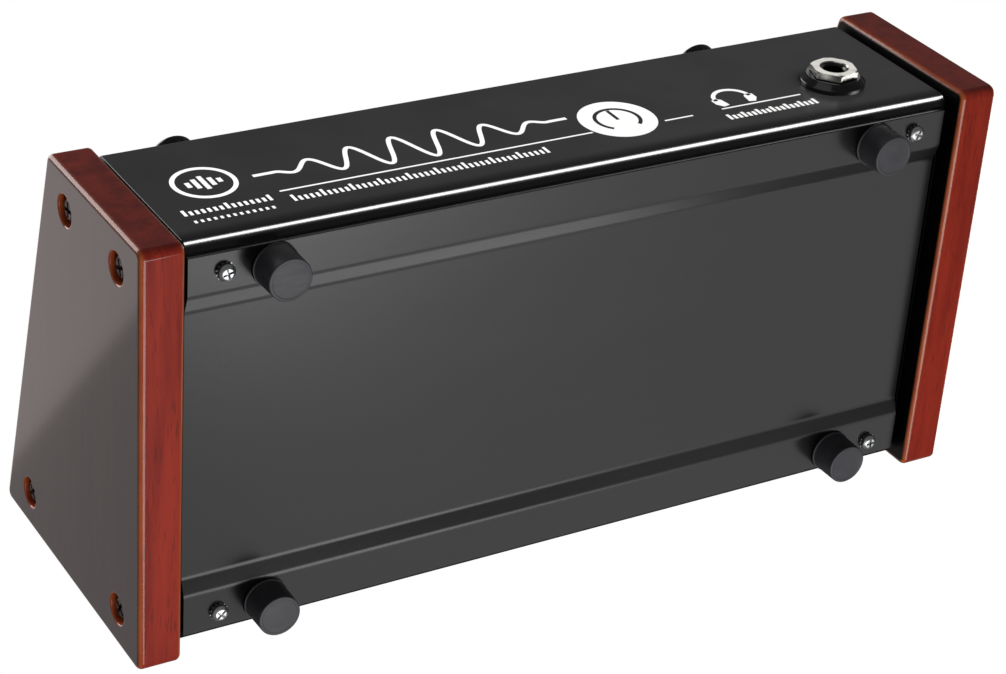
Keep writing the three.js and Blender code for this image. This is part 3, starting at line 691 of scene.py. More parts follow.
class PrintSettings(bpy.types.PropertyGroup):
    thickness: length("Ink", "Thickness of the printed marks", 0.05)
    line: length("Line", "Width of the fine lines", 0.7)
    wave_line: length("Wave line", "Width of the wave's stroke", 1.5)
    ink_colour: colour("Ink colour", "Colour of the printed marks", (0.86, 0.86, 0.85))


class StageSettings(bpy.types.PropertyGroup):
    azimuth: FloatProperty(name="Azimuth", description="Camera's turn round the object", default=-43.306)
    elevation: FloatProperty(name="Elevation", description="Camera's height angle", default=-47.604)
    roll: FloatProperty(name="Roll", description="Camera's tilt about its own axis", default=-47.496)
    distance: length("Distance", "From the camera to its aim", 842.9)
    lens: FloatProperty(name="Lens", description="Focal length in millimetres", default=98.17)
    aim: FloatVectorProperty(
        name="Aim", description="Point looked at, from the middle of the foot plane",
        default=(-28.3 * MM, -13.9 * MM, 10.5 * MM), subtype="TRANSLATION",
    )
    ambient: FloatProperty(name="Ambient", description="Strength of the even light", default=0.11)


SETTINGS = (
    ("controller_wood", WoodSettings),
    ("controller_case", CaseSettings),
    ("controller_fittings", FittingSettings),
    ("controller_controls", ControlSettings),
    ("controller_print", PrintSettings),
    ("controller_stage", StageSettings),
)

# ---------------------------------------------------------------- wooden cheeks

SCREW_PLACES = ("front_low", "rear_low", "front_high", "rear_high")
CHEEK_SHANK_HOLE = 2.3 * MM


def cheek_body(side, name, wood):
    """A wedge-shaped board with rounded corners and arrises, and four stepped screw holes."""
    low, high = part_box(name + "_cheek")
    corners = [
        (low.y, low.z),
        (high.y, low.z),
        (high.y, slope_z(high.y, WOOD_PROUD)),
        (low.y, slope_z(low.y, WOOD_PROUD)),
    ]
    body = prism(fillet(corners, wood.corner, 8), low.x, high.x, wood.arris, 6)
    thick = high.x - low.x
    rim = [
        (wood.counterbore + wood.rim * (1 - math.cos(a)), -wood.rim * (1 - math.sin(a)))
        for a in (math.pi / 2 * step / 5 for step in range(6))
    ]
    shank, past = CHEEK_SHANK_HOLE, -thick - MM
    profile = [(0, past), (shank, past), (shank, -wood.seat), (wood.counterbore, -wood.seat)]
    profile += rim + [(rim[-1][0], MM), (0, MM)]
    holes = []
    for place in SCREW_PLACES:
        at = middle(f"{name}_cheek_screw_{place}")
        mouth = Vector((high.x if side > 0 else low.x, at.y, at.z))
        holes.append(placed(lathe(profile, 40), axis_frame(mouth, RIGHT * side, Vector((0, 1, 0)))))
    return boolean(body, joined(*holes))


def mark_wood(obj, name, wood):
    """Notes on the mesh how thin the stain is, along the arrises and in the screw recesses, and
    which vertices lie on the face against the case, which is painted near black as shade."""
    low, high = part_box(name + "_cheek")
    inner = high.x if name == "left" else low.x
    centres = [middle(f"{name}_cheek_screw_{place}") for place in SCREW_PLACES]
    recess, flush = wood.counterbore + wood.rim, 0.02 * MM
    rubbed, hidden = [], []
    for vertex in obj.data.vertices:
        x, y, z = vertex.co
        depth = min(x - low.x, high.x - x)
        near = min(math.hypot(y - c.y, z - c.z) for c in centres)
        if depth < flush or (depth > wood.arris and near > recess):
            value = 0.0
        elif near < recess:
            value = 0.8
        else:
            value = math.sin(2 * math.asin(1 - depth / wood.arris)) ** 2
        rubbed.append(value)
        hidden.append(1.0 if abs(x - inner) < flush else 0.0)
    for title, values in (("rubbed", rubbed), ("hidden", hidden)):
        obj.data.attributes.new(title, "FLOAT", "POINT").data.foreach_set("value", values)


def cross_recess(radius, depth):
    """The tool for a tapered cross recess, its mouth on z = 0."""
    half = 0.24 * radius
    outline = []
    for quarter in range(4):
        for x, y in ((radius, -half), (radius, half), (half, half)):
            outline.append(turned_by(Vector((x, y)), quarter * math.pi / 2))
    return bar(outline, -depth, 0.02 * MM, 0.62)


def pan_screw(head, height, shank, long, washer=False):
    """A pan head screw standing on z = 0, with a domed head and a cross recess."""
    corners = [
        (0, -long), (0.6 * shank, -long), (shank, -long + 0.6 * shank), (shank, 0),
        (head, 0), (head, 0.62 * height), (0.62 * head, height), (0, height),
    ]
    radii = [0, 0, 0, 0, 0.12 * head, 0.3 * head, 0.35 * head, 0]
    body = lathe(fillet(corners, radii, 5, closed=False), 40)
    tool = placed(cross_recess(0.6 * head, 0.62 * height), Matrix.Translation((0, 0, height)))
    body = boolean(body, tool)
    if washer:
        body = joined(body, toothed_washer(head + 0.15 * MM, shank + 0.1 * MM))
    return body


def toothed_washer(outer, inner, thick=0.26 * MM, teeth=12):
    """A thin lock washer with notches round its rim, just under z = 0."""
    outline = []
    for i in range(4 * teeth):
        radius = outer if i % 4 in (0, 1) else 0.86 * outer
        outline.append(turned_by(Vector((radius, 0)), math.pi / 2 * i / teeth))
    disc = bar(outline, -thick, -0.01 * MM)
    hole = lathe([(0, -MM), (inner, -MM), (inner, MM), (0, MM)], 24)
    return boolean(disc, hole)


class CONTROLLER_OT_cheeks(bpy.types.Operator):
    """Builds the two lacquered wooden cheeks"""

    bl_idname = "controller.cheeks"
    bl_label = "Wooden Cheeks"

    def execute(self, context):
        wood = context.scene.controller_wood
        for name, side in SIDES:
            node = name + "_cheek"
            look = Looks.get(lacquered_wood)
            obj = piece(f"{name}_wood_cheek", cheek_body(side, name, wood), look,
                        stands_for=[node])
            mark_wood(obj, name, wood)
        return {"FINISHED"}


class CONTROLLER_OT_cheek_screws(bpy.types.Operator):
    """Builds the eight dark screws sunk into the cheeks"""

    bl_idname = "controller.cheek_screws"
    bl_label = "Cheek Screws"

    def execute(self, context):
        for name, side in SIDES:
            for i, place in enumerate(SCREW_PLACES):
                node = f"{name}_cheek_screw_{place}"
                low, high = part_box(node)
                at = middle(node)
                head, height, shank = (high.y - low.y) / 2, 2.6 * MM, 2.0 * MM
                long = (high.x - low.x) - height
                seat = high.x - height if side > 0 else low.x + height
                stand = axis_frame(Vector((seat, at.y, at.z)), RIGHT * side, Vector((0, 1, 0)))
                turn = Matrix.Rotation(math.radians(20 + 37 * i), 4, "Z")
                body = placed(pan_screw(head, height, shank, long), stand @ turn)
                piece(f"{name}_cheek_fixing_{place}", body, Looks.get(blackened_steel),
                      stands_for=[node])
        return {"FINISHED"}


# ---------------------------------------------------------------- case

# Radii of the holes in the cover and the bottom plate
SMALL_HOLE = 3.8 * MM
VOLUME_HOLE = 4.8 * MM
PHONES_HOLE = 6.3 * MM
JACK_HOLE = 5.0 * MM
BUTTON_CLEAR = 0.4 * MM
FOOT_HOLE_IN_COVER = 4.0 * MM
FOOT_HOLE_IN_PLATE = 2.9 * MM
SCREW_HOLE = 1.8 * MM


def peg(radius, low, high, matrix, sides=40):
    """A plain round cutter along a matrix's Z."""
    return placed(lathe([(0, low), (radius, low), (radius, high), (0, high)], sides), matrix)


def cover_body(case, controls):
    """The folded sheet: front wall, sloping panel, rear wall and two flanges, with its holes."""
    front, rear, low, t = COVER_LOW.y, COVER_HIGH.y, COVER_LOW.z, case.sheet
    corners = [
        (rear - case.rear_flange, low),
        (rear, low),
        (rear, slope_z(rear)),
        (front, slope_z(front)),
        (front, low),
        (front + case.front_flange, low),
        (front + case.front_flange, low + t),
        (front + t, low + t),
        (front + t, slope_z(front + t, -t)),
        (rear - t, slope_z(rear - t, -t)),
        (rear - t, low + t),
        (rear - case.rear_flange, low + t),
    ]
    outer, inner, tip = case.fold, case.fold - t, 0.35 * MM
    radii = [tip, outer, outer, outer, outer, tip, tip, inner, inner, inner, inner, tip]
    body = prism(fillet(corners, radii, 8), COVER_LOW.x, COVER_HIGH.x, 0.4 * MM, 3)
    reach = 3 * MM
    holes = []
    for name, radius in (("source", SMALL_HOLE), ("phones_level", SMALL_HOLE), ("volume", VOLUME_HOLE)):
        holes.append(peg(radius, -reach, reach, axis_frame(panel_base(name + "_turn"), OUT)))
    for name in BUTTONS:
        key_hole = controls.button_radius + BUTTON_CLEAR
        holes.append(peg(key_hole, -reach, reach, axis_frame(button_base(name), OUT)))
    holes.append(peg(PHONES_HOLE, -reach, reach, socket_frame("phones_nut", -1)))
    for name in REAR_SOCKETS:
        holes.append(peg(JACK_HOLE, -reach, reach, socket_frame(name + "_nut", 1)))
    for node, radius in bottom_fixings(FOOT_HOLE_IN_COVER, SCREW_HOLE):
        at = middle(node)
        holes.append(peg(radius, -reach, reach, Matrix.Translation((at.x, at.y, low)), 24))
    return boolean(body, joined(*holes))


def bottom_fixings(foot_hole, screw_hole):
    """Each foot and bottom screw, with the radius of the hole that it takes."""
    for name, _ in SIDES:
        for end in ENDS:
            yield f"foot_{name}_{end}", foot_hole
            yield f"bottom_screw_{name}_{end}", screw_hole


def button_base(name):
    """Where a button's axis leaves the panel: in line with the volume knob."""
    return Vector((middle(name + "_button").x, VOLUME_BASE.y, VOLUME_BASE.z))


def socket_frame(nut, outward):
    """The frame of a socket: origin on the wall's outer face, Z out of the wall."""
    at = middle(nut)
    wall = COVER_LOW.y if outward < 0 else COVER_HIGH.y
    return axis_frame(Vector((at.x, wall, at.z)), Vector((0, outward, 0)))


def plate_body(case):
    """The bottom plate: two strips, with the middle stepped up between them."""
    low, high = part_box("bottom_plate")
    t = case.plate_sheet
    raised = high.z - t
    path = [
        (low.y, low.z),
        (low.y + case.front_strip, low.z),
        (low.y + case.front_strip + case.step_run, raised),
        (high.y - case.rear_strip - case.step_run, raised),
        (high.y - case.rear_strip, low.z),
        (high.y, low.z),
    ]
    back = [(y, z + t) for y, z in reversed(path)]
    tip, bend = 0.3 * MM, case.step_bend
    radii = [tip, bend, bend, bend, bend, tip]
    body = prism(fillet(path + back, radii * 2, 8), low.x, high.x, 0.25 * MM, 3)
    holes = []
    for node, radius in bottom_fixings(FOOT_HOLE_IN_PLATE, SCREW_HOLE):
        at = middle(node)
        holes.append(peg(radius, -3 * MM, 3 * MM, Matrix.Translation((at.x, at.y, low.z)), 24))
    return boolean(body, joined(*holes))


def foot_body(fittings):
    """A push-in rubber foot on z = 0, with a shallow dish, a thin flange and a barbed stem."""
    tip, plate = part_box("foot_left_front")[1].z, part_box("bottom_plate")[0].z
    r, flange, throat = fittings.foot_radius, plate - 0.1 * MM, plate + 1.5 * MM
    stem, rim = 2.5 * MM, 0.8 * MM
    corners = [
        (0, 0.12 * MM), (r - 1.1 * MM, 0.12 * MM), (r - 0.9 * MM, 0), (r, 0),
        (r + 0.15 * MM, flange - rim), (r + fittings.foot_rim, flange - rim),
        (r + fittings.foot_rim, flange), (stem, flange), (stem, throat),
        (stem + 0.9 * MM, throat), (stem - 0.5 * MM, tip), (0, tip),
    ]
    radii = [0, 0.1, 0.1, 0.45, 0.3, 0.25, 0.25, 0, 0, 0.2, 0.4, 0]
    return lathe(fillet(corners, [v * MM for v in radii], 5, closed=False), 56)


class CONTROLLER_OT_case(bpy.types.Operator):
    """Builds the folded cover and the stepped bottom plate"""

    bl_idname = "controller.case"
    bl_label = "Case"

    def execute(self, context):
        case = context.scene.controller_case
        cover = cover_body(case, context.scene.controller_controls)
        piece("folded_cover", cover, Looks.get(black_coat),
              stands_for=["control_cover"])
        piece("stepped_plate", plate_body(case), Looks.get(charcoal_coat),
              stands_for=["bottom_plate"])
        return {"FINISHED"}


class CONTROLLER_OT_feet(bpy.types.Operator):
    """Builds the four rubber feet"""

    bl_idname = "controller.feet"
    bl_label = "Rubber Feet"

    def execute(self, context):
        for name, _ in SIDES:
            for end in ENDS:
                node = f"foot_{name}_{end}"
                at = middle(node)
                body = placed(foot_body(context.scene.controller_fittings),
                              Matrix.Translation((at.x, at.y, 0)))
                piece(f"rubber_foot_{name}_{end}", body, Looks.get(rubber),
                      stands_for=[node])
        return {"FINISHED"}


class CONTROLLER_OT_bottom_screws(bpy.types.Operator):
    """Builds the four bright screws, each with its lock washer"""

    bl_idname = "controller.bottom_screws"
    bl_label = "Bottom Screws"

    def execute(self, context):
        for s, (name, _) in enumerate(SIDES):
            for e, end in enumerate(ENDS):
                node = f"bottom_screw_{name}_{end}"
                low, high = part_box(node)
                at = middle(node)
                height = 2.3 * MM
                seat = low.z + height
                stand = axis_frame(Vector((at.x, at.y, seat)), Vector((0, 0, -1)))
                turn = Matrix.Rotation(math.radians(15 + 50 * s + 28 * e), 4, "Z")
                body = pan_screw((high.x - low.x) / 2, height, 1.5 * MM, high.z - seat, washer=True)
                piece(f"pan_screw_{name}_{end}", placed(body, stand @ turn), Looks.get(zinc),
                      stands_for=[node])
        return {"FINISHED"}


# ---------------------------------------------------------------- sockets

def hex_nut(flats, thick, hole, base):
    """A hexagon nut whose lower face is at base, chamfered on its outer face and in its bore."""
    corner = flats / math.sqrt(3)
    outline = fillet([turned_by(Vector((corner, 0)), math.pi / 3 * i) for i in range(6)], 0.25 * MM, 2)
    top = base + thick
    circle, wide = 0.52 * flats, corner + MM
    drop = (wide - circle) * math.tan(math.radians(28))
    cone = [(0, base - MM), (wide, base - MM), (wide, top - drop), (circle, top), (0, top)]
    blank = boolean(bar(outline, base, top), lathe(cone, 72), "INTERSECT")
    lead = 0.3 * MM
    bore = [
        (0, base - MM), (hole + lead + MM, base - MM), (hole, base + lead), (hole, top - lead),
        (hole + lead + MM, top + MM), (0, top + MM),
    ]
    return boolean(blank, lathe(bore, 56))


def socket_body(fittings, node, outward, mouth):
    """A line socket: square housing, threaded bush and lined bore. mouth is its end, out of the wall."""
    low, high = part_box(node)
    wall = COVER_LOW.y if outward < 0 else COVER_HIGH.y
    back = min((low.y - wall) * outward, (high.y - wall) * outward)
    top, end = -1.8 * MM, back + 3 * MM
    half = (high.x - low.x) / 2
    square = fillet([(-half, -half), (half, -half), (half, half), (-half, half)], 0.8 * MM, 4)
    housing = bar(square, back, top)
    bush, bore = fittings.bush_radius, fittings.bore_radius
    thread = []
    height, pitch = 0.2 * MM, 0.5 * MM
    while height < mouth - pitch:
        thread += [(bush, height), (bush - pitch / 2, height + pitch / 2)]
        height += pitch
    neck = [(bore, end), (bush, end), (bush, top), (bush, 0)]
    neck += thread + [(bush, mouth - 0.3 * MM), (bush - 0.3 * MM, mouth), (bore + 0.5 * MM, mouth)]
    neck += [(bore, mouth - 0.6 * MM)]
    hole = [(0, end), (bush + 0.1 * MM, end), (bush + 0.1 * MM, MM), (0, MM)]
    return joined(boolean(housing, lathe(hole, 48)), lathe(neck, 48))


def spring_body(bore, mouth):
    """The bent contact blade that shows inside a socket."""
    width, thick = 0.9 * MM, 0.25 * MM
    path = [(-bore + 0.3 * MM, -12 * MM), (-bore + 0.5 * MM, -6 * MM), (-bore + 2.0 * MM, -3.4 * MM),
            (-bore + 0.8 * MM, mouth - 2.2 * MM)]
    outline = path + [(x + thick, z) for x, z in reversed(path)]
    return loft([[(x, y, z) for x, z in outline] for y in (-width, width)])


class CONTROLLER_OT_headphone_socket(bpy.types.Operator):
    """Builds the headphone socket with its washer and bright nut"""

    bl_idname = "controller.headphone_socket"
    bl_label = "Headphone Socket"

    def execute(self, context):
        fittings = context.scene.controller_fittings
        stand = socket_frame("phones_nut", -1)
        low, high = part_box("phones_washer")
        base, thick, radius = 0.05 * MM, COVER_LOW.y - low.y, (high.x - low.x) / 2
        hole = fittings.bush_radius + 0.15 * MM
        corners = [
            (hole, -1.5 * MM), (6.0 * MM, -1.5 * MM), (6.0 * MM, base), (radius, base),
            (radius, base + 1.4 * MM), (radius - 1.9 * MM, thick), (hole, thick),
        ]
        radii = [0, 0.2 * MM, 0, 0.15 * MM, 0.5 * MM, 0.7 * MM, 0.1 * MM]
        washer = placed(lathe(fillet(corners, radii, 6), 72), stand)
        piece("shoulder_washer", washer, Looks.get(gloss_black),
              stands_for=["phones_washer"])
        nut_low = COVER_LOW.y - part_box("phones_nut")[1].y
        turn = Matrix.Rotation(math.radians(12), 4, "Z")
        nut = hex_nut(fittings.nut_flats, fittings.nut_thick, fittings.bush_radius + 0.05 * MM, nut_low)
        piece("headphone_nut", placed(nut, stand @ turn), Looks.get(nickel),
              stands_for=["phones_nut"])
        mouth = nut_low + fittings.nut_thick - 0.55 * MM
        body = socket_body(fittings, "phones_socket", -1, mouth)
        piece("headphone_socket", placed(body, stand), Looks.get(gloss_black),
              stands_for=["phones_socket"])
        spring = placed(spring_body(fittings.bore_radius, mouth), stand)
        piece("headphone_contact", spring, Looks.get(nickel))
        return {"FINISHED"}


class CONTROLLER_OT_rear_sockets(bpy.types.Operator):
    """Builds the six line sockets in the rear wall, with their plastic nuts"""

    bl_idname = "controller.rear_sockets"
    bl_label = "Rear Sockets"

    def execute(self, context):
        fittings = context.scene.controller_fittings
        for i, name in enumerate(REAR_SOCKETS):
            stand = socket_frame(name + "_nut", 1)
            turn = Matrix.Rotation(math.radians(7 * i), 4, "Z")
            hole = fittings.bush_radius + 0.05 * MM
            nut = hex_nut(fittings.nut_flats, fittings.nut_thick, hole, 0.1 * MM)
            piece(f"{name}_plastic_nut", placed(nut, stand @ turn), Looks.get(satin_black),
                  stands_for=[name + "_nut"])
            mouth = fittings.nut_thick + 0.25 * MM
            body = placed(socket_body(fittings, name + "_socket", 1, mouth), stand)
            piece(f"{name}_jack", body, Looks.get(gloss_black),
                  stands_for=[name + "_socket"])
            spring = placed(spring_body(fittings.bore_radius, mouth), stand)
            piece(f"{name}_contact", spring, Looks.get(nickel))
        return {"FINISHED"}


# ---------------------------------------------------------------- controls

KNOB_LIFT = 0.8 * MM  # panel to the skirt of a knob


def small_knob(controls):
    """A small knob: fluted grip, domed top, pointer groove and a blind bore for its shaft."""
    r, top = controls.small_radius, controls.small_top
    bore, roof = 2.15 * MM, top - 2.4 * MM
    grip = 0.35 * MM
    skirt = [(bore, KNOB_LIFT), (r - 0.3 * MM, KNOB_LIFT), (r, KNOB_LIFT + 0.3 * MM),
             (r, KNOB_LIFT + 1.2 * MM)]
    flutes = [(r, KNOB_LIFT + 1.4 * MM, 0.0), (r, KNOB_LIFT + 1.9 * MM, grip),
              (r - 0.1 * MM, top - 3.2 * MM, grip), (r - 0.1 * MM, top - 2.6 * MM, 0.0)]
    crown = fillet([(r - 0.1 * MM, top - 2.2 * MM), (r - 0.2 * MM, top), (0, top)],
                   [0, 1.3 * MM, 0], 8, closed=False)
    profile = [(0, roof), (bore, roof)] + skirt + flutes + crown
    body = lathe(profile, controls.small_flutes * 8, controls.small_flutes)
    groove = bar([(-0.4 * MM, 2 * MM), (0.4 * MM, 2 * MM), (0.4 * MM, r + MM), (-0.4 * MM, r + MM)],
                 top - 0.35 * MM, top + MM)
    return boolean(body, groove)


def pointer_line(near, far, width, height):
    """A painted pointer on a knob, along the knob's +Y."""
    return bar([(-width, near), (width, near), (width, far), (-width, far)],
               height - 0.2 * MM, height + 0.02 * MM)


def volume_knob(controls, cap_radius, seat):
    """The big knob: fluted skirted cup with a seat for its cap and a boss for its shaft."""
    r, top = controls.volume_radius, controls.volume_top
    inner, bore = r - 3 * MM, 3.15 * MM
    roof = top - seat - 4 * MM
    grip = 0.7 * MM
    profile = [
        (0, roof + 1.5 * MM), (bore, roof + 1.5 * MM), (bore, 5.2 * MM), (6 * MM, 5.2 * MM), (6 * MM, roof),
        (inner, roof), (inner, KNOB_LIFT + 0.3 * MM), (inner + 0.3 * MM, KNOB_LIFT),
        (r - 0.4 * MM, KNOB_LIFT), (r, KNOB_LIFT + 0.4 * MM), (r, KNOB_LIFT + 2.2 * MM),
        (r - 0.3 * MM, KNOB_LIFT + 2.5 * MM, 0.0), (r - 0.3 * MM, KNOB_LIFT + 3.2 * MM, grip),
        (r - 0.9 * MM, top - 3.0 * MM, grip), (r - 1.0 * MM, top - 2.2 * MM, 0.0),
        (r - 1.1 * MM, top - 0.8 * MM), (r - 1.3 * MM, top - 0.2 * MM), (r - 1.8 * MM, top),
        (cap_radius + 0.15 * MM, top), (cap_radius + 0.15 * MM, top - seat), (0, top - seat),
    ]
    return lathe(profile, controls.volume_flutes * 6, controls.volume_flutes)


def volume_cap(radius, low, top):
    """The turned disc on the big knob: bevelled rim, shallow dish, centre dimple."""
    corners = [
        (0, low), (radius, low), (radius, top - 0.45 * MM), (radius - 0.6 * MM, top),
        (radius - 1.6 * MM, top), (radius - 2.2 * MM, top - 0.25 * MM), (2.2 * MM, top - 0.35 * MM),
        (1.8 * MM, top - 0.55 * MM), (0, top - 0.6 * MM),
    ]
    radii = [0, 0.15, 0.2, 0.15, 0.15, 0.3, 0.15, 0.2, 0]
    return lathe(fillet(corners, [v * MM for v in radii], 4, closed=False), 96)


def button_body(controls):
    """A push button: dished cap, flange under the panel and stem."""
    r, top = controls.button_radius, controls.button_top
    under = -1.8 * MM
    corners = [
        (0, -9.2 * MM), (1.5 * MM, -9.2 * MM), (1.5 * MM, under - MM), (r + 1.2 * MM, under - MM),
        (r + 1.2 * MM, under), (r, under), (r, top), (r - 1.0 * MM, top), (0, top - 0.45 * MM),
    ]
    radii = [0, 0.2, 0, 0.2, 0.1, 0, 0.5, 1.2, 0]
    return lathe(fillet(corners, [v * MM for v in radii], 6, closed=False), 48)


class CONTROLLER_OT_small_knobs(bpy.types.Operator):
    """Builds the source and headphone level knobs"""

    bl_idname = "controller.small_knobs"
    bl_label = "Small Knobs"

    def execute(self, context):
        controls = context.scene.controller_controls
        for name in SMALL_KNOBS:
            stand = axis_frame(panel_base(name + "_turn"), OUT)
            body = f"{name}_control"
            piece(f"{name}_grip", placed(small_knob(controls), stand), Looks.get(gloss_black),
                  body, [name + "_knob"])
            line = pointer_line(2.2 * MM, controls.small_radius - 0.9 * MM, 0.3 * MM,
                                controls.small_top - 0.3 * MM)
            piece(f"{name}_pointer", placed(line, stand), Looks.get(ink), body=body)
        return {"FINISHED"}


class CONTROLLER_OT_volume_knob(bpy.types.Operator):
    """Builds the volume knob and its turned cap"""

    bl_idname = "controller.volume_knob"
    bl_label = "Volume Knob"

    def execute(self, context):
        controls = context.scene.controller_controls
        stand = axis_frame(VOLUME_BASE, OUT)
        seat = 1.4 * MM
        cap_radius = controls.volume_radius - 2.5 * MM
        top = controls.volume_top
        piece("volume_grip", placed(volume_knob(controls, cap_radius, seat), stand),
              Looks.get(satin_black), "volume_control", ["volume_knob"])
        cap = placed(volume_cap(cap_radius, top - seat + 0.05 * MM, top), stand)
        look = spun("turned_aluminium", (0.70, 0.71, 0.72), VOLUME_BASE, OUT)
        piece("volume_disc", cap, look, "volume_control", ["volume_cap"])
        line = pointer_line(0.55 * cap_radius, cap_radius - 2.6 * MM, 0.6 * MM, top - 0.22 * MM)
        piece("volume_pointer", placed(line, stand), Looks.get(dark_ink), body="volume_control")
        return {"FINISHED"}


class CONTROLLER_OT_buttons(bpy.types.Operator):
    """Builds the three push buttons"""

    bl_idname = "controller.buttons"
    bl_label = "Push Buttons"

    def execute(self, context):
        for name in BUTTONS:
            cap = button_body(context.scene.controller_controls)
            body = placed(cap, axis_frame(button_base(name), OUT))
            piece(f"{name}_push_cap", body, Looks.get(satin_black), f"{name}_key",
                  [name + "_button"])
        return {"FINISHED"}


# ---------------------------------------------------------------- printed marks

PRINT_DROP = 9.5 * MM  # the front marks' zero height is this far under the cover
DIAL_START, DIAL_SWEEP = 240, 300  # degrees: a full dial's first mark, and its turn clockwise


def circle(centre, radius, sides=64):
    """Points round a flat circle."""
    arm = Vector((radius, 0))
    return [Vector(centre) + turned_by(arm, 2 * math.pi * i / sides) for i in range(sides)]


class Artwork:
    """Thin raised ink on one flat face. Marks are drawn in that face's own x and y, in millimetres."""

    def __init__(self, matrix, thickness):
        self.matrix = matrix
        self.thickness = thickness
        self.bodies = []

    def shape(self, outline, lift=0.0):
        points = [(x * MM, y * MM) for x, y in outline]
        self.bodies.append(bar(points, lift * MM, lift * MM + self.thickness))

    def band(self, points, width, closed=False):
        """A stroke of even width along points."""
        points = [Vector(p) for p in points]
        left, right = [], []
        for i, point in enumerate(points):
            before = points[i - 1] if closed or i else point
            after = points[(i + 1) % len(points)] if closed or i < len(points) - 1 else point
            way = (after - before).normalized()
            side = Vector((-way.y, way.x)) * (width / 2)
            left.append(point + side)
            right.append(point - side)
        if not closed:
            self.shape(left + right[::-1])
            return
        for i in range(len(points)):
            self.shape([left[i - 1], left[i], right[i], right[i - 1]])

    def arc(self, centre, radius, start, end, width, steps):
        """A stroke round part of a circle, its angles in degrees."""
        angles = [math.radians(start + (end - start) * i / steps) for i in range(steps + 1)]
        self.band([Vector(centre) + turned_by(Vector((radius, 0)), a) for a in angles], width)

    def disc(self, centre, radius):
        self.shape(circle(centre, radius))

    def box(self, x0, y0, x1, y1, lift=0.0):
        self.shape([(x0, y0), (x1, y0), (x1, y1), (x0, y1)], lift)

    def ticks(self, x0, x1, y, tall, short, count, width, every=5):
        """A row of upright ticks. The first is tall, and so is every fifth, or as every says."""
        for i in range(count):
            x = x0 + (x1 - x0) * i / (count - 1)
            height = tall if i % every == 0 else short
            self.box(x - width / 2, y, x + width / 2, y + height)

    def number(self, text, centre, size):
        """A number on a dial."""
        curve = bpy.data.curves.new("number", "FONT")
        curve.body = text
        curve.size = size * MM
        curve.align_x = "CENTER"
        curve.align_y = "CENTER"
        curve.extrude = self.thickness / 2
        curve.resolution_u = 4
        holder = bpy.data.objects.new("number", curve)
        bpy.context.scene.collection.objects.link(holder)
        depsgraph = bpy.context.evaluated_depsgraph_get()
        bm = bmesh.new()
        bm.from_mesh(holder.evaluated_get(depsgraph).to_mesh())
        bpy.data.objects.remove(holder)
        bpy.data.curves.remove(curve)
        place = Matrix.Translation((centre[0] * MM, centre[1] * MM, self.thickness / 2))
        self.bodies.append(placed(bm, place))

    def finish(self, name, look):
        piece(name, placed(joined(*self.bodies), self.matrix), look)


def draw_headphones(art, centre, size):
    """A plain headphone pictogram."""
    x, y = centre
    art.arc(centre, 0.44 * size, 0, 180, 0.10 * size, 24)
    for side in (-1, 1):
        cup = [(0.26, -0.26), (0.42, -0.30), (0.54, -0.14), (0.54, 0.06), (0.40, 0.10), (0.30, 0.02)]
        art.shape([(x + side * u * size, y + v * size) for u, v in (cup if side > 0 else cup[::-1])])


def draw_wave(art, x0, x1, y, swing, width, cycles=7, steps=180):
    """A sound wave that swells and dies away between two short flat ends."""
    points = []
    for i in range(steps + 1):
        s = i / steps
        swell = max(0.0, math.sin(math.pi * min(1.0, max(0.0, (s - 0.06) / 0.88)))) ** 0.8
        points.append((x0 + (x1 - x0) * s, y + swing * swell * math.sin(2 * math.pi * cycles * s)))
    art.band(points, width)


class CONTROLLER_OT_front_print(bpy.types.Operator):
    """Prints the plain white marks on the front wall"""

    bl_idname = "controller.front_print"
    bl_label = "Front Print"

    def execute(self, context):
        settings = context.scene.controller_print
        line = settings.line / MM
        wall = axis_frame(Vector((0, COVER_LOW.y, COVER_LOW.z - PRINT_DROP)), Vector((0, -1, 0)))
        spot, spot_radius = (24, 34), 12.8
        art = Artwork(wall, settings.thickness)
        self.draw_dial_emblem(art, (-114, 42), 9.4)
        art.ticks(-127.5, -100.5, 24.2, 3.6, 2.4, 15, 1.0, 7)
        art.ticks(-126.5, -102.0, 19.2, 1.5, 1.5, 13, 0.9)
        draw_wave(art, -99, 9, 40.5, 8.2, settings.wave_line / MM)
        art.box(-96, 28.2, 11.5, 28.2 + line)
        art.ticks(-94, -8.5, 21.2, 4.0, 2.6, 46, 0.95, 5)
        art.disc(spot, spot_radius)
        art.box(37.5, 27.0, 48, 27.0 + line)
        draw_headphones(art, (67.5, 33.6), 14.5)
        art.box(59.5, 27.6, 90, 27.6 + line)
        art.ticks(58.5, 91.5, 20.2, 3.6, 2.6, 19, 1.1, 3)
        art.finish("front_marks", Looks.get(ink))
        over = Artwork(wall, settings.thickness)
        self.draw_knob_sign(over, spot, spot_radius, settings.thickness / MM)
        over.finish("front_disc_sign", Looks.get(dark_ink))
        return {"FINISHED"}

    def draw_dial_emblem(self, art, centre, radius):
        """A ring round five level bars."""
        art.band(circle(centre, radius), 1.5, closed=True)
        for i, level in enumerate((3.2, 6.0, 8.6, 5.0, 2.6)):
            x = centre[0] + 2.5 * (i - 2)
            art.box(x - 0.75, centre[1] - level / 2, x + 0.75, centre[1] + level / 2)

    def draw_knob_sign(self, art, centre, radius, lift):
        """A dark open ring with a pointer, on the white disc."""
        start, sweep, steps = -50, 280, 30
        inner, outer = 0.52 * radius, 0.62 * radius
        for i in range(steps):
            angles = [math.radians(start + sweep * (i + k) / steps) for k in (0, 1)]
            corners = [(inner, angles[0]), (outer, angles[0]), (outer, angles[1]), (inner, angles[1])]
            art.shape([Vector(centre) + turned_by(Vector((r, 0)), a) for r, a in corners], lift)
        x, y = centre
        art.box(x - 0.6, y - 0.5, x + 0.6, y + 0.5 * radius, lift)


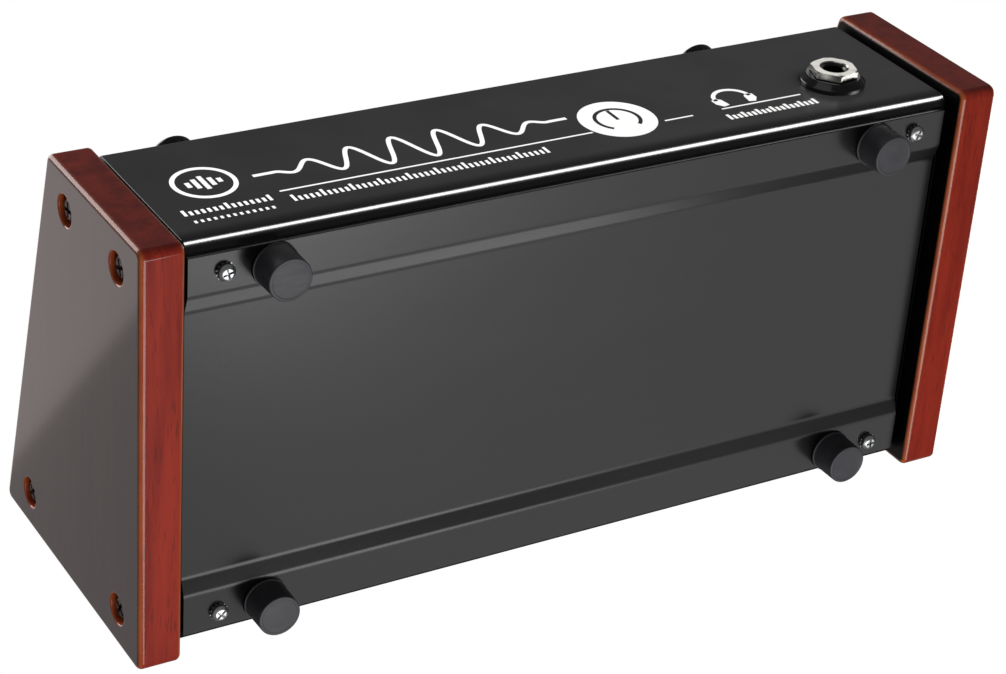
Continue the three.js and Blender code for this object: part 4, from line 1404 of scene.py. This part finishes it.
class CONTROLLER_OT_panel_print(bpy.types.Operator):
    """Prints the dial scales on the sloping panel and the marks by the rear sockets"""

    bl_idname = "controller.panel_print"
    bl_label = "Panel Print"

    def execute(self, context):
        settings = context.scene.controller_print
        controls = context.scene.controller_controls
        line = settings.line / MM
        art = Artwork(axis_frame(VOLUME_BASE, OUT), settings.thickness)
        radius = controls.volume_radius / MM
        start, steps = radius + 2.2, 50
        for i in range(steps + 1):
            angle = math.radians(DIAL_START - DIAL_SWEEP * i / steps)
            long = 2.6 if i % 5 == 0 else 1.4
            ends = [turned_by(Vector((r, 0)), angle) for r in (start, start + long)]
            art.band(ends, 0.5 if i % 5 == 0 else 0.3)
            if i % 5 == 0:
                art.number(str(i // 5), turned_by(Vector((radius + 8.2, 0)), angle), 4.6)
        art.finish("volume_scale", Looks.get(ink))
        for name in SMALL_KNOBS:
            dial = Artwork(axis_frame(panel_base(name + "_turn"), OUT), settings.thickness)
            reach = controls.small_radius / MM
            angles = (120, 90, 60)
            if name != "source":
                angles = [DIAL_START - DIAL_SWEEP * i / 10 for i in range(11)]
            for i, degrees in enumerate(angles):
                turn = math.radians(degrees)
                ends = [turned_by(Vector((r, 0)), turn) for r in (reach + 1.4, reach + 3.4)]
                dial.band(ends, 0.5)
                if name == "source":
                    dial.number(str(i + 1), turned_by(Vector((reach + 6.2, 0)), turn), 3.6)
            if name != "source":
                draw_headphones(dial, (0, reach + 9.5), 7.0)
            dial.finish(f"{name}_scale", Looks.get(ink))
        keys = Artwork(axis_frame(VOLUME_BASE, OUT), settings.thickness)
        for i, name in enumerate(BUTTONS):
            x = (button_base(name).x - VOLUME_BASE.x) / MM
            keys.arc((x, 0), 6.6, 0, 360, line / 2, 48)
            keys.box(x - 2.2, 9.4, x + 2.2, 9.4 + line)
            for k in range(i + 1):
                keys.disc((x + 1.8 * (k - i / 2), 11.8), 0.55)
        keys.finish("button_marks", Looks.get(ink))
        self.rear_marks(settings)
        return {"FINISHED"}

    def rear_marks(self, settings):
        """Pairs of rings and a number over the sockets of each pair."""
        wall = axis_frame(Vector((0, COVER_HIGH.y, 0)), Vector((0, 1, 0)), -RIGHT)
        art = Artwork(wall, settings.thickness)
        for i, name in enumerate(REAR_SOCKETS):
            at = middle(name + "_nut") / MM
            art.arc((-at.x, at.z), 10.4, 0, 360, 0.4, 56)
            art.disc((-at.x, at.z + 14), 1.1 if i % 2 else 0.7)
        for first in range(0, len(REAR_SOCKETS), 2):
            pair = [middle(REAR_SOCKETS[first + k] + "_nut") / MM for k in (0, 1)]
            x, z = -(pair[0].x + pair[1].x) / 2, pair[0].z
            art.number(str(first // 2 + 1), (x, z + 19), 6.0)
            for start, end in ((x - 15, x - 4), (x + 4, x + 15)):
                art.box(start, z + 14.8, end, z + 15.3)
        art.finish("rear_marks", Looks.get(ink))


# ---------------------------------------------------------------- pieces kept from the frame

KEPT = (
    (inner_black, ("left_end_tray", "right_end_tray")),
    (zinc, ("board_stud_left", "board_stud_right", "volume_pot", "volume_shaft", "source_shaft",
            "phones_level_shaft")),
    (nickel, ("volume_nut",)),
    (grey_plastic, ("mute_switch", "dim_switch", "mono_switch", "source_switch", "phones_level_pot")),
    (circuit_board, ("control_board", "rear_board")),
    (ribbon, ("ribbon_cable",)),
    (lead_sleeve, ("phones_lead",)),
)


class CONTROLLER_OT_inside(bpy.types.Operator):
    """Gives the pieces inside the case their finishes"""

    bl_idname = "controller.inside"
    bl_label = "Inside"

    def execute(self, context):
        for look, names in KEPT:
            for name in names:
                mesh = frame["nodes"][name].data
                mesh.materials.clear()
                mesh.materials.append(Looks.get(look))
        return {"FINISHED"}


# ---------------------------------------------------------------- stage

LIT_POINT = Vector((0, 0, 50 * MM))  # what every lamp faces


def soft_box(name, toward, distance, size, power, only=(), tint=(1, 1, 1)):
    """A rectangular soft light, seen only in what it lights. It stands at a distance from the lit
    point, toward a direction. only holds words of the names of the pieces that it lights."""
    light = bpy.data.lights.new(name, "AREA")
    light.shape = "RECTANGLE"
    light.size, light.size_y = size
    light.energy = power
    light.color = tint
    obj = bpy.data.objects.new(name, light)
    way = Vector(toward).normalized()
    obj.location = LIT_POINT + way * distance
    obj.rotation_mode = "QUATERNION"
    obj.rotation_quaternion = way.to_track_quat("Z", "Y")
    obj.visible_camera = False
    bpy.context.scene.collection.objects.link(obj)
    if only:
        lit = bpy.data.collections.new(name + "_lit")
        for o in bpy.context.scene.objects:
            if o.type == "MESH" and any(word in o.name for word in only):
                lit.objects.link(o)
        obj.light_linking.receiver_collection = lit


def pale_world(strength):
    """White behind the object, and an even softer light on it."""
    world = bpy.data.worlds.new("pale_room")
    world.use_nodes = True
    world.node_tree.nodes.clear()
    nodes = Nodes(world.node_tree)
    seen = nodes.add("ShaderNodeBackground", {"Color": (1, 1, 1, 1), "Strength": 1.0})
    lit = nodes.add("ShaderNodeBackground", {"Color": (1, 1, 1, 1), "Strength": strength})
    ray = nodes.add("ShaderNodeLightPath").outputs["Is Camera Ray"]
    both = nodes.add("ShaderNodeMixShader", {0: ray, 1: lit.outputs[0], 2: seen.outputs[0]})
    nodes.add("ShaderNodeOutputWorld", {"Surface": both.outputs[0]})
    bpy.context.scene.world = world


def floor():
    """A pale table top that is only there from above."""
    half = 2.5
    bm = bmesh.new()
    corners = [bm.verts.new((x * half, y * half, 0)) for x, y in ((-1, -1), (1, -1), (1, 1), (-1, 1))]
    bm.faces.new(corners)
    obj = bpy.data.objects.new("floor", to_mesh(bm, "floor"))
    bpy.context.scene.collection.objects.link(obj)
    material, nodes = new_material("pale_floor")
    geometry = nodes.add("ShaderNodeNewGeometry")
    cloud = nodes.span(nodes.noise(nodes.where(), 3.0, 2.0), 0.3, 0.7)
    top = nodes.add("ShaderNodeBsdfPrincipled", {
        "Base Color": nodes.mix(cloud, (0.80, 0.80, 0.80), (0.83, 0.83, 0.83)), "Roughness": 0.7,
    })
    below = nodes.add("ShaderNodeBsdfTransparent")
    both = nodes.add("ShaderNodeMixShader", {
        0: geometry.outputs["Backfacing"], 1: top.outputs[0], 2: below.outputs[0],
    })
    nodes.add("ShaderNodeOutputMaterial", {"Surface": both.outputs[0]})
    obj.data.materials.append(material)
    obj.visible_shadow = False
    obj.visible_diffuse = False
    obj.visible_glossy = False
    obj.visible_transmission = False


def camera(settings):
    """The viewing angle, from its azimuth, elevation and roll about an aim point."""
    a, e = math.radians(settings.azimuth), math.radians(settings.elevation)
    back = Vector((math.sin(a) * math.cos(e), -math.cos(a) * math.cos(e), math.sin(e)))
    data = bpy.data.cameras.new("camera")
    data.lens = settings.lens
    data.sensor_width = 36.0
    data.clip_start, data.clip_end = 0.05, 20.0
    obj = bpy.data.objects.new("camera", data)
    obj.rotation_mode = "QUATERNION"
    roll = Quaternion((0, 0, 1), math.radians(settings.roll))
    obj.rotation_quaternion = (-back).to_track_quat("-Z", "Y") @ roll
    obj.location = Vector(settings.aim) + back * settings.distance
    bpy.context.scene.collection.objects.link(obj)
    bpy.context.scene.camera = obj


class CONTROLLER_OT_stage(bpy.types.Operator):
    """Sets the floor, the soft lights and the camera"""

    bl_idname = "controller.stage"
    bl_label = "Stage"

    def execute(self, context):
        settings = context.scene.controller_stage
        context.scene.view_settings.view_transform = "Standard"
        pale_world(settings.ambient)
        floor()
        camera(settings)
        cheeks = ("wood_cheek", "cheek_fixing")
        under = ("rubber_foot", "stepped_plate", "pan_screw")
        lower = (*cheeks, "rubber_foot", "pan_screw")
        above = ("folded_cover", "grip", "disc", "push_cap", "jack", "plastic_nut", "scale")
        warm = (1.0, 0.86, 0.84)
        soft_box("key_below", (-0.10, 0.35, -0.93), 1.1, (0.7, 0.7), 6, lower)
        soft_box("top_fill", (-0.35, -0.25, 0.90), 1.4, (0.9, 0.9), 10)
        soft_box("cheek_gloss", (-0.32, 0.51, 0.80), 1.0, (1.1, 1.1), 0.95, cheeks, warm)
        soft_box("cheek_glow", (-0.36, 0.34, 0.87), 1.0, (0.40, 0.40), 0.26, cheeks, warm)
        soft_box("bend_strip", (0.46, -0.74, -0.49), 1.0, (1.1, 0.6), 60, ("folded_cover",))
        soft_box("plate_mirror", (0.46, 0.49, -0.74), 1.1, (1.0, 0.8), 2.2, ("stepped_plate", "pan_screw"))
        soft_box("plate_front", (0.28, 0.28, -0.92), 1.0, (0.3, 0.3), 1.2, under)
        soft_box("step_glow", (0.34, 0.89, -0.30), 1.0, (0.5, 0.3), 1.0, ("stepped_plate",))
        soft_box("print_fill", (-0.2, -1.0, -0.3), 1.0, (0.6, 0.6), 12, ("marks", "sign"))
        soft_box("table_light", (0.1, -0.1, 1.0), 1.8, (2.4, 2.4), 50, ("floor",))
        soft_box("panel_sheen", (-0.64, 0.33, 0.69), 1.2, (1.2, 1.2), 2.6, above)
        soft_box("rear_fill", (-0.50, 0.80, 0.35), 1.2, (1.0, 1.0), 7, (*above, "rear_marks"))
        soft_box("right_fill", (0.93, 0.24, 0.28), 1.2, (0.9, 0.9), 8, cheeks)
        soft_box("nut_room", (-0.55, -0.75, -0.20), 1.0, (1.2, 1.2), 2.4, ("headphone_nut", "shoulder"))
        soft_box("nut_glow", (0.58, -0.42, 0.70), 0.8, (0.35, 0.35), 0.35, ("headphone_", "shoulder"))
        return {"FINISHED"}


# ---------------------------------------------------------------- add-on

STEPS = (
    CONTROLLER_OT_cheeks,
    CONTROLLER_OT_cheek_screws,
    CONTROLLER_OT_case,
    CONTROLLER_OT_feet,
    CONTROLLER_OT_bottom_screws,
    CONTROLLER_OT_headphone_socket,
    CONTROLLER_OT_rear_sockets,
    CONTROLLER_OT_small_knobs,
    CONTROLLER_OT_volume_knob,
    CONTROLLER_OT_buttons,
    CONTROLLER_OT_front_print,
    CONTROLLER_OT_panel_print,
    CONTROLLER_OT_inside,
    CONTROLLER_OT_stage,
)


class CONTROLLER_PT_panel(bpy.types.Panel):
    """Lists the pieces and their settings"""

    bl_idname = "CONTROLLER_PT_panel"
    bl_label = "Monitor Controller"
    bl_space_type = "VIEW_3D"
    bl_region_type = "UI"
    bl_category = "Controller"

    def draw(self, context):
        for name, group in SETTINGS:
            box = self.layout.box()
            for key in group.__annotations__:
                box.prop(getattr(context.scene, name), key)
        for step in STEPS:
            self.layout.operator(step.bl_idname)


def register():
    for name, group in SETTINGS:
        bpy.utils.register_class(group)
        setattr(bpy.types.Scene, name, PointerProperty(type=group))
    for step in STEPS:
        bpy.utils.register_class(step)
    bpy.utils.register_class(CONTROLLER_PT_panel)


def unregister():
    bpy.utils.unregister_class(CONTROLLER_PT_panel)
    for step in reversed(STEPS):
        bpy.utils.unregister_class(step)
    for name, group in reversed(SETTINGS):
        delattr(bpy.types.Scene, name)
        bpy.utils.unregister_class(group)


def main():
    register()
    for step in STEPS:
        family, name = step.bl_idname.split(".")
        getattr(getattr(bpy.ops, family), name)()


if __name__ == "__main__":
    main()
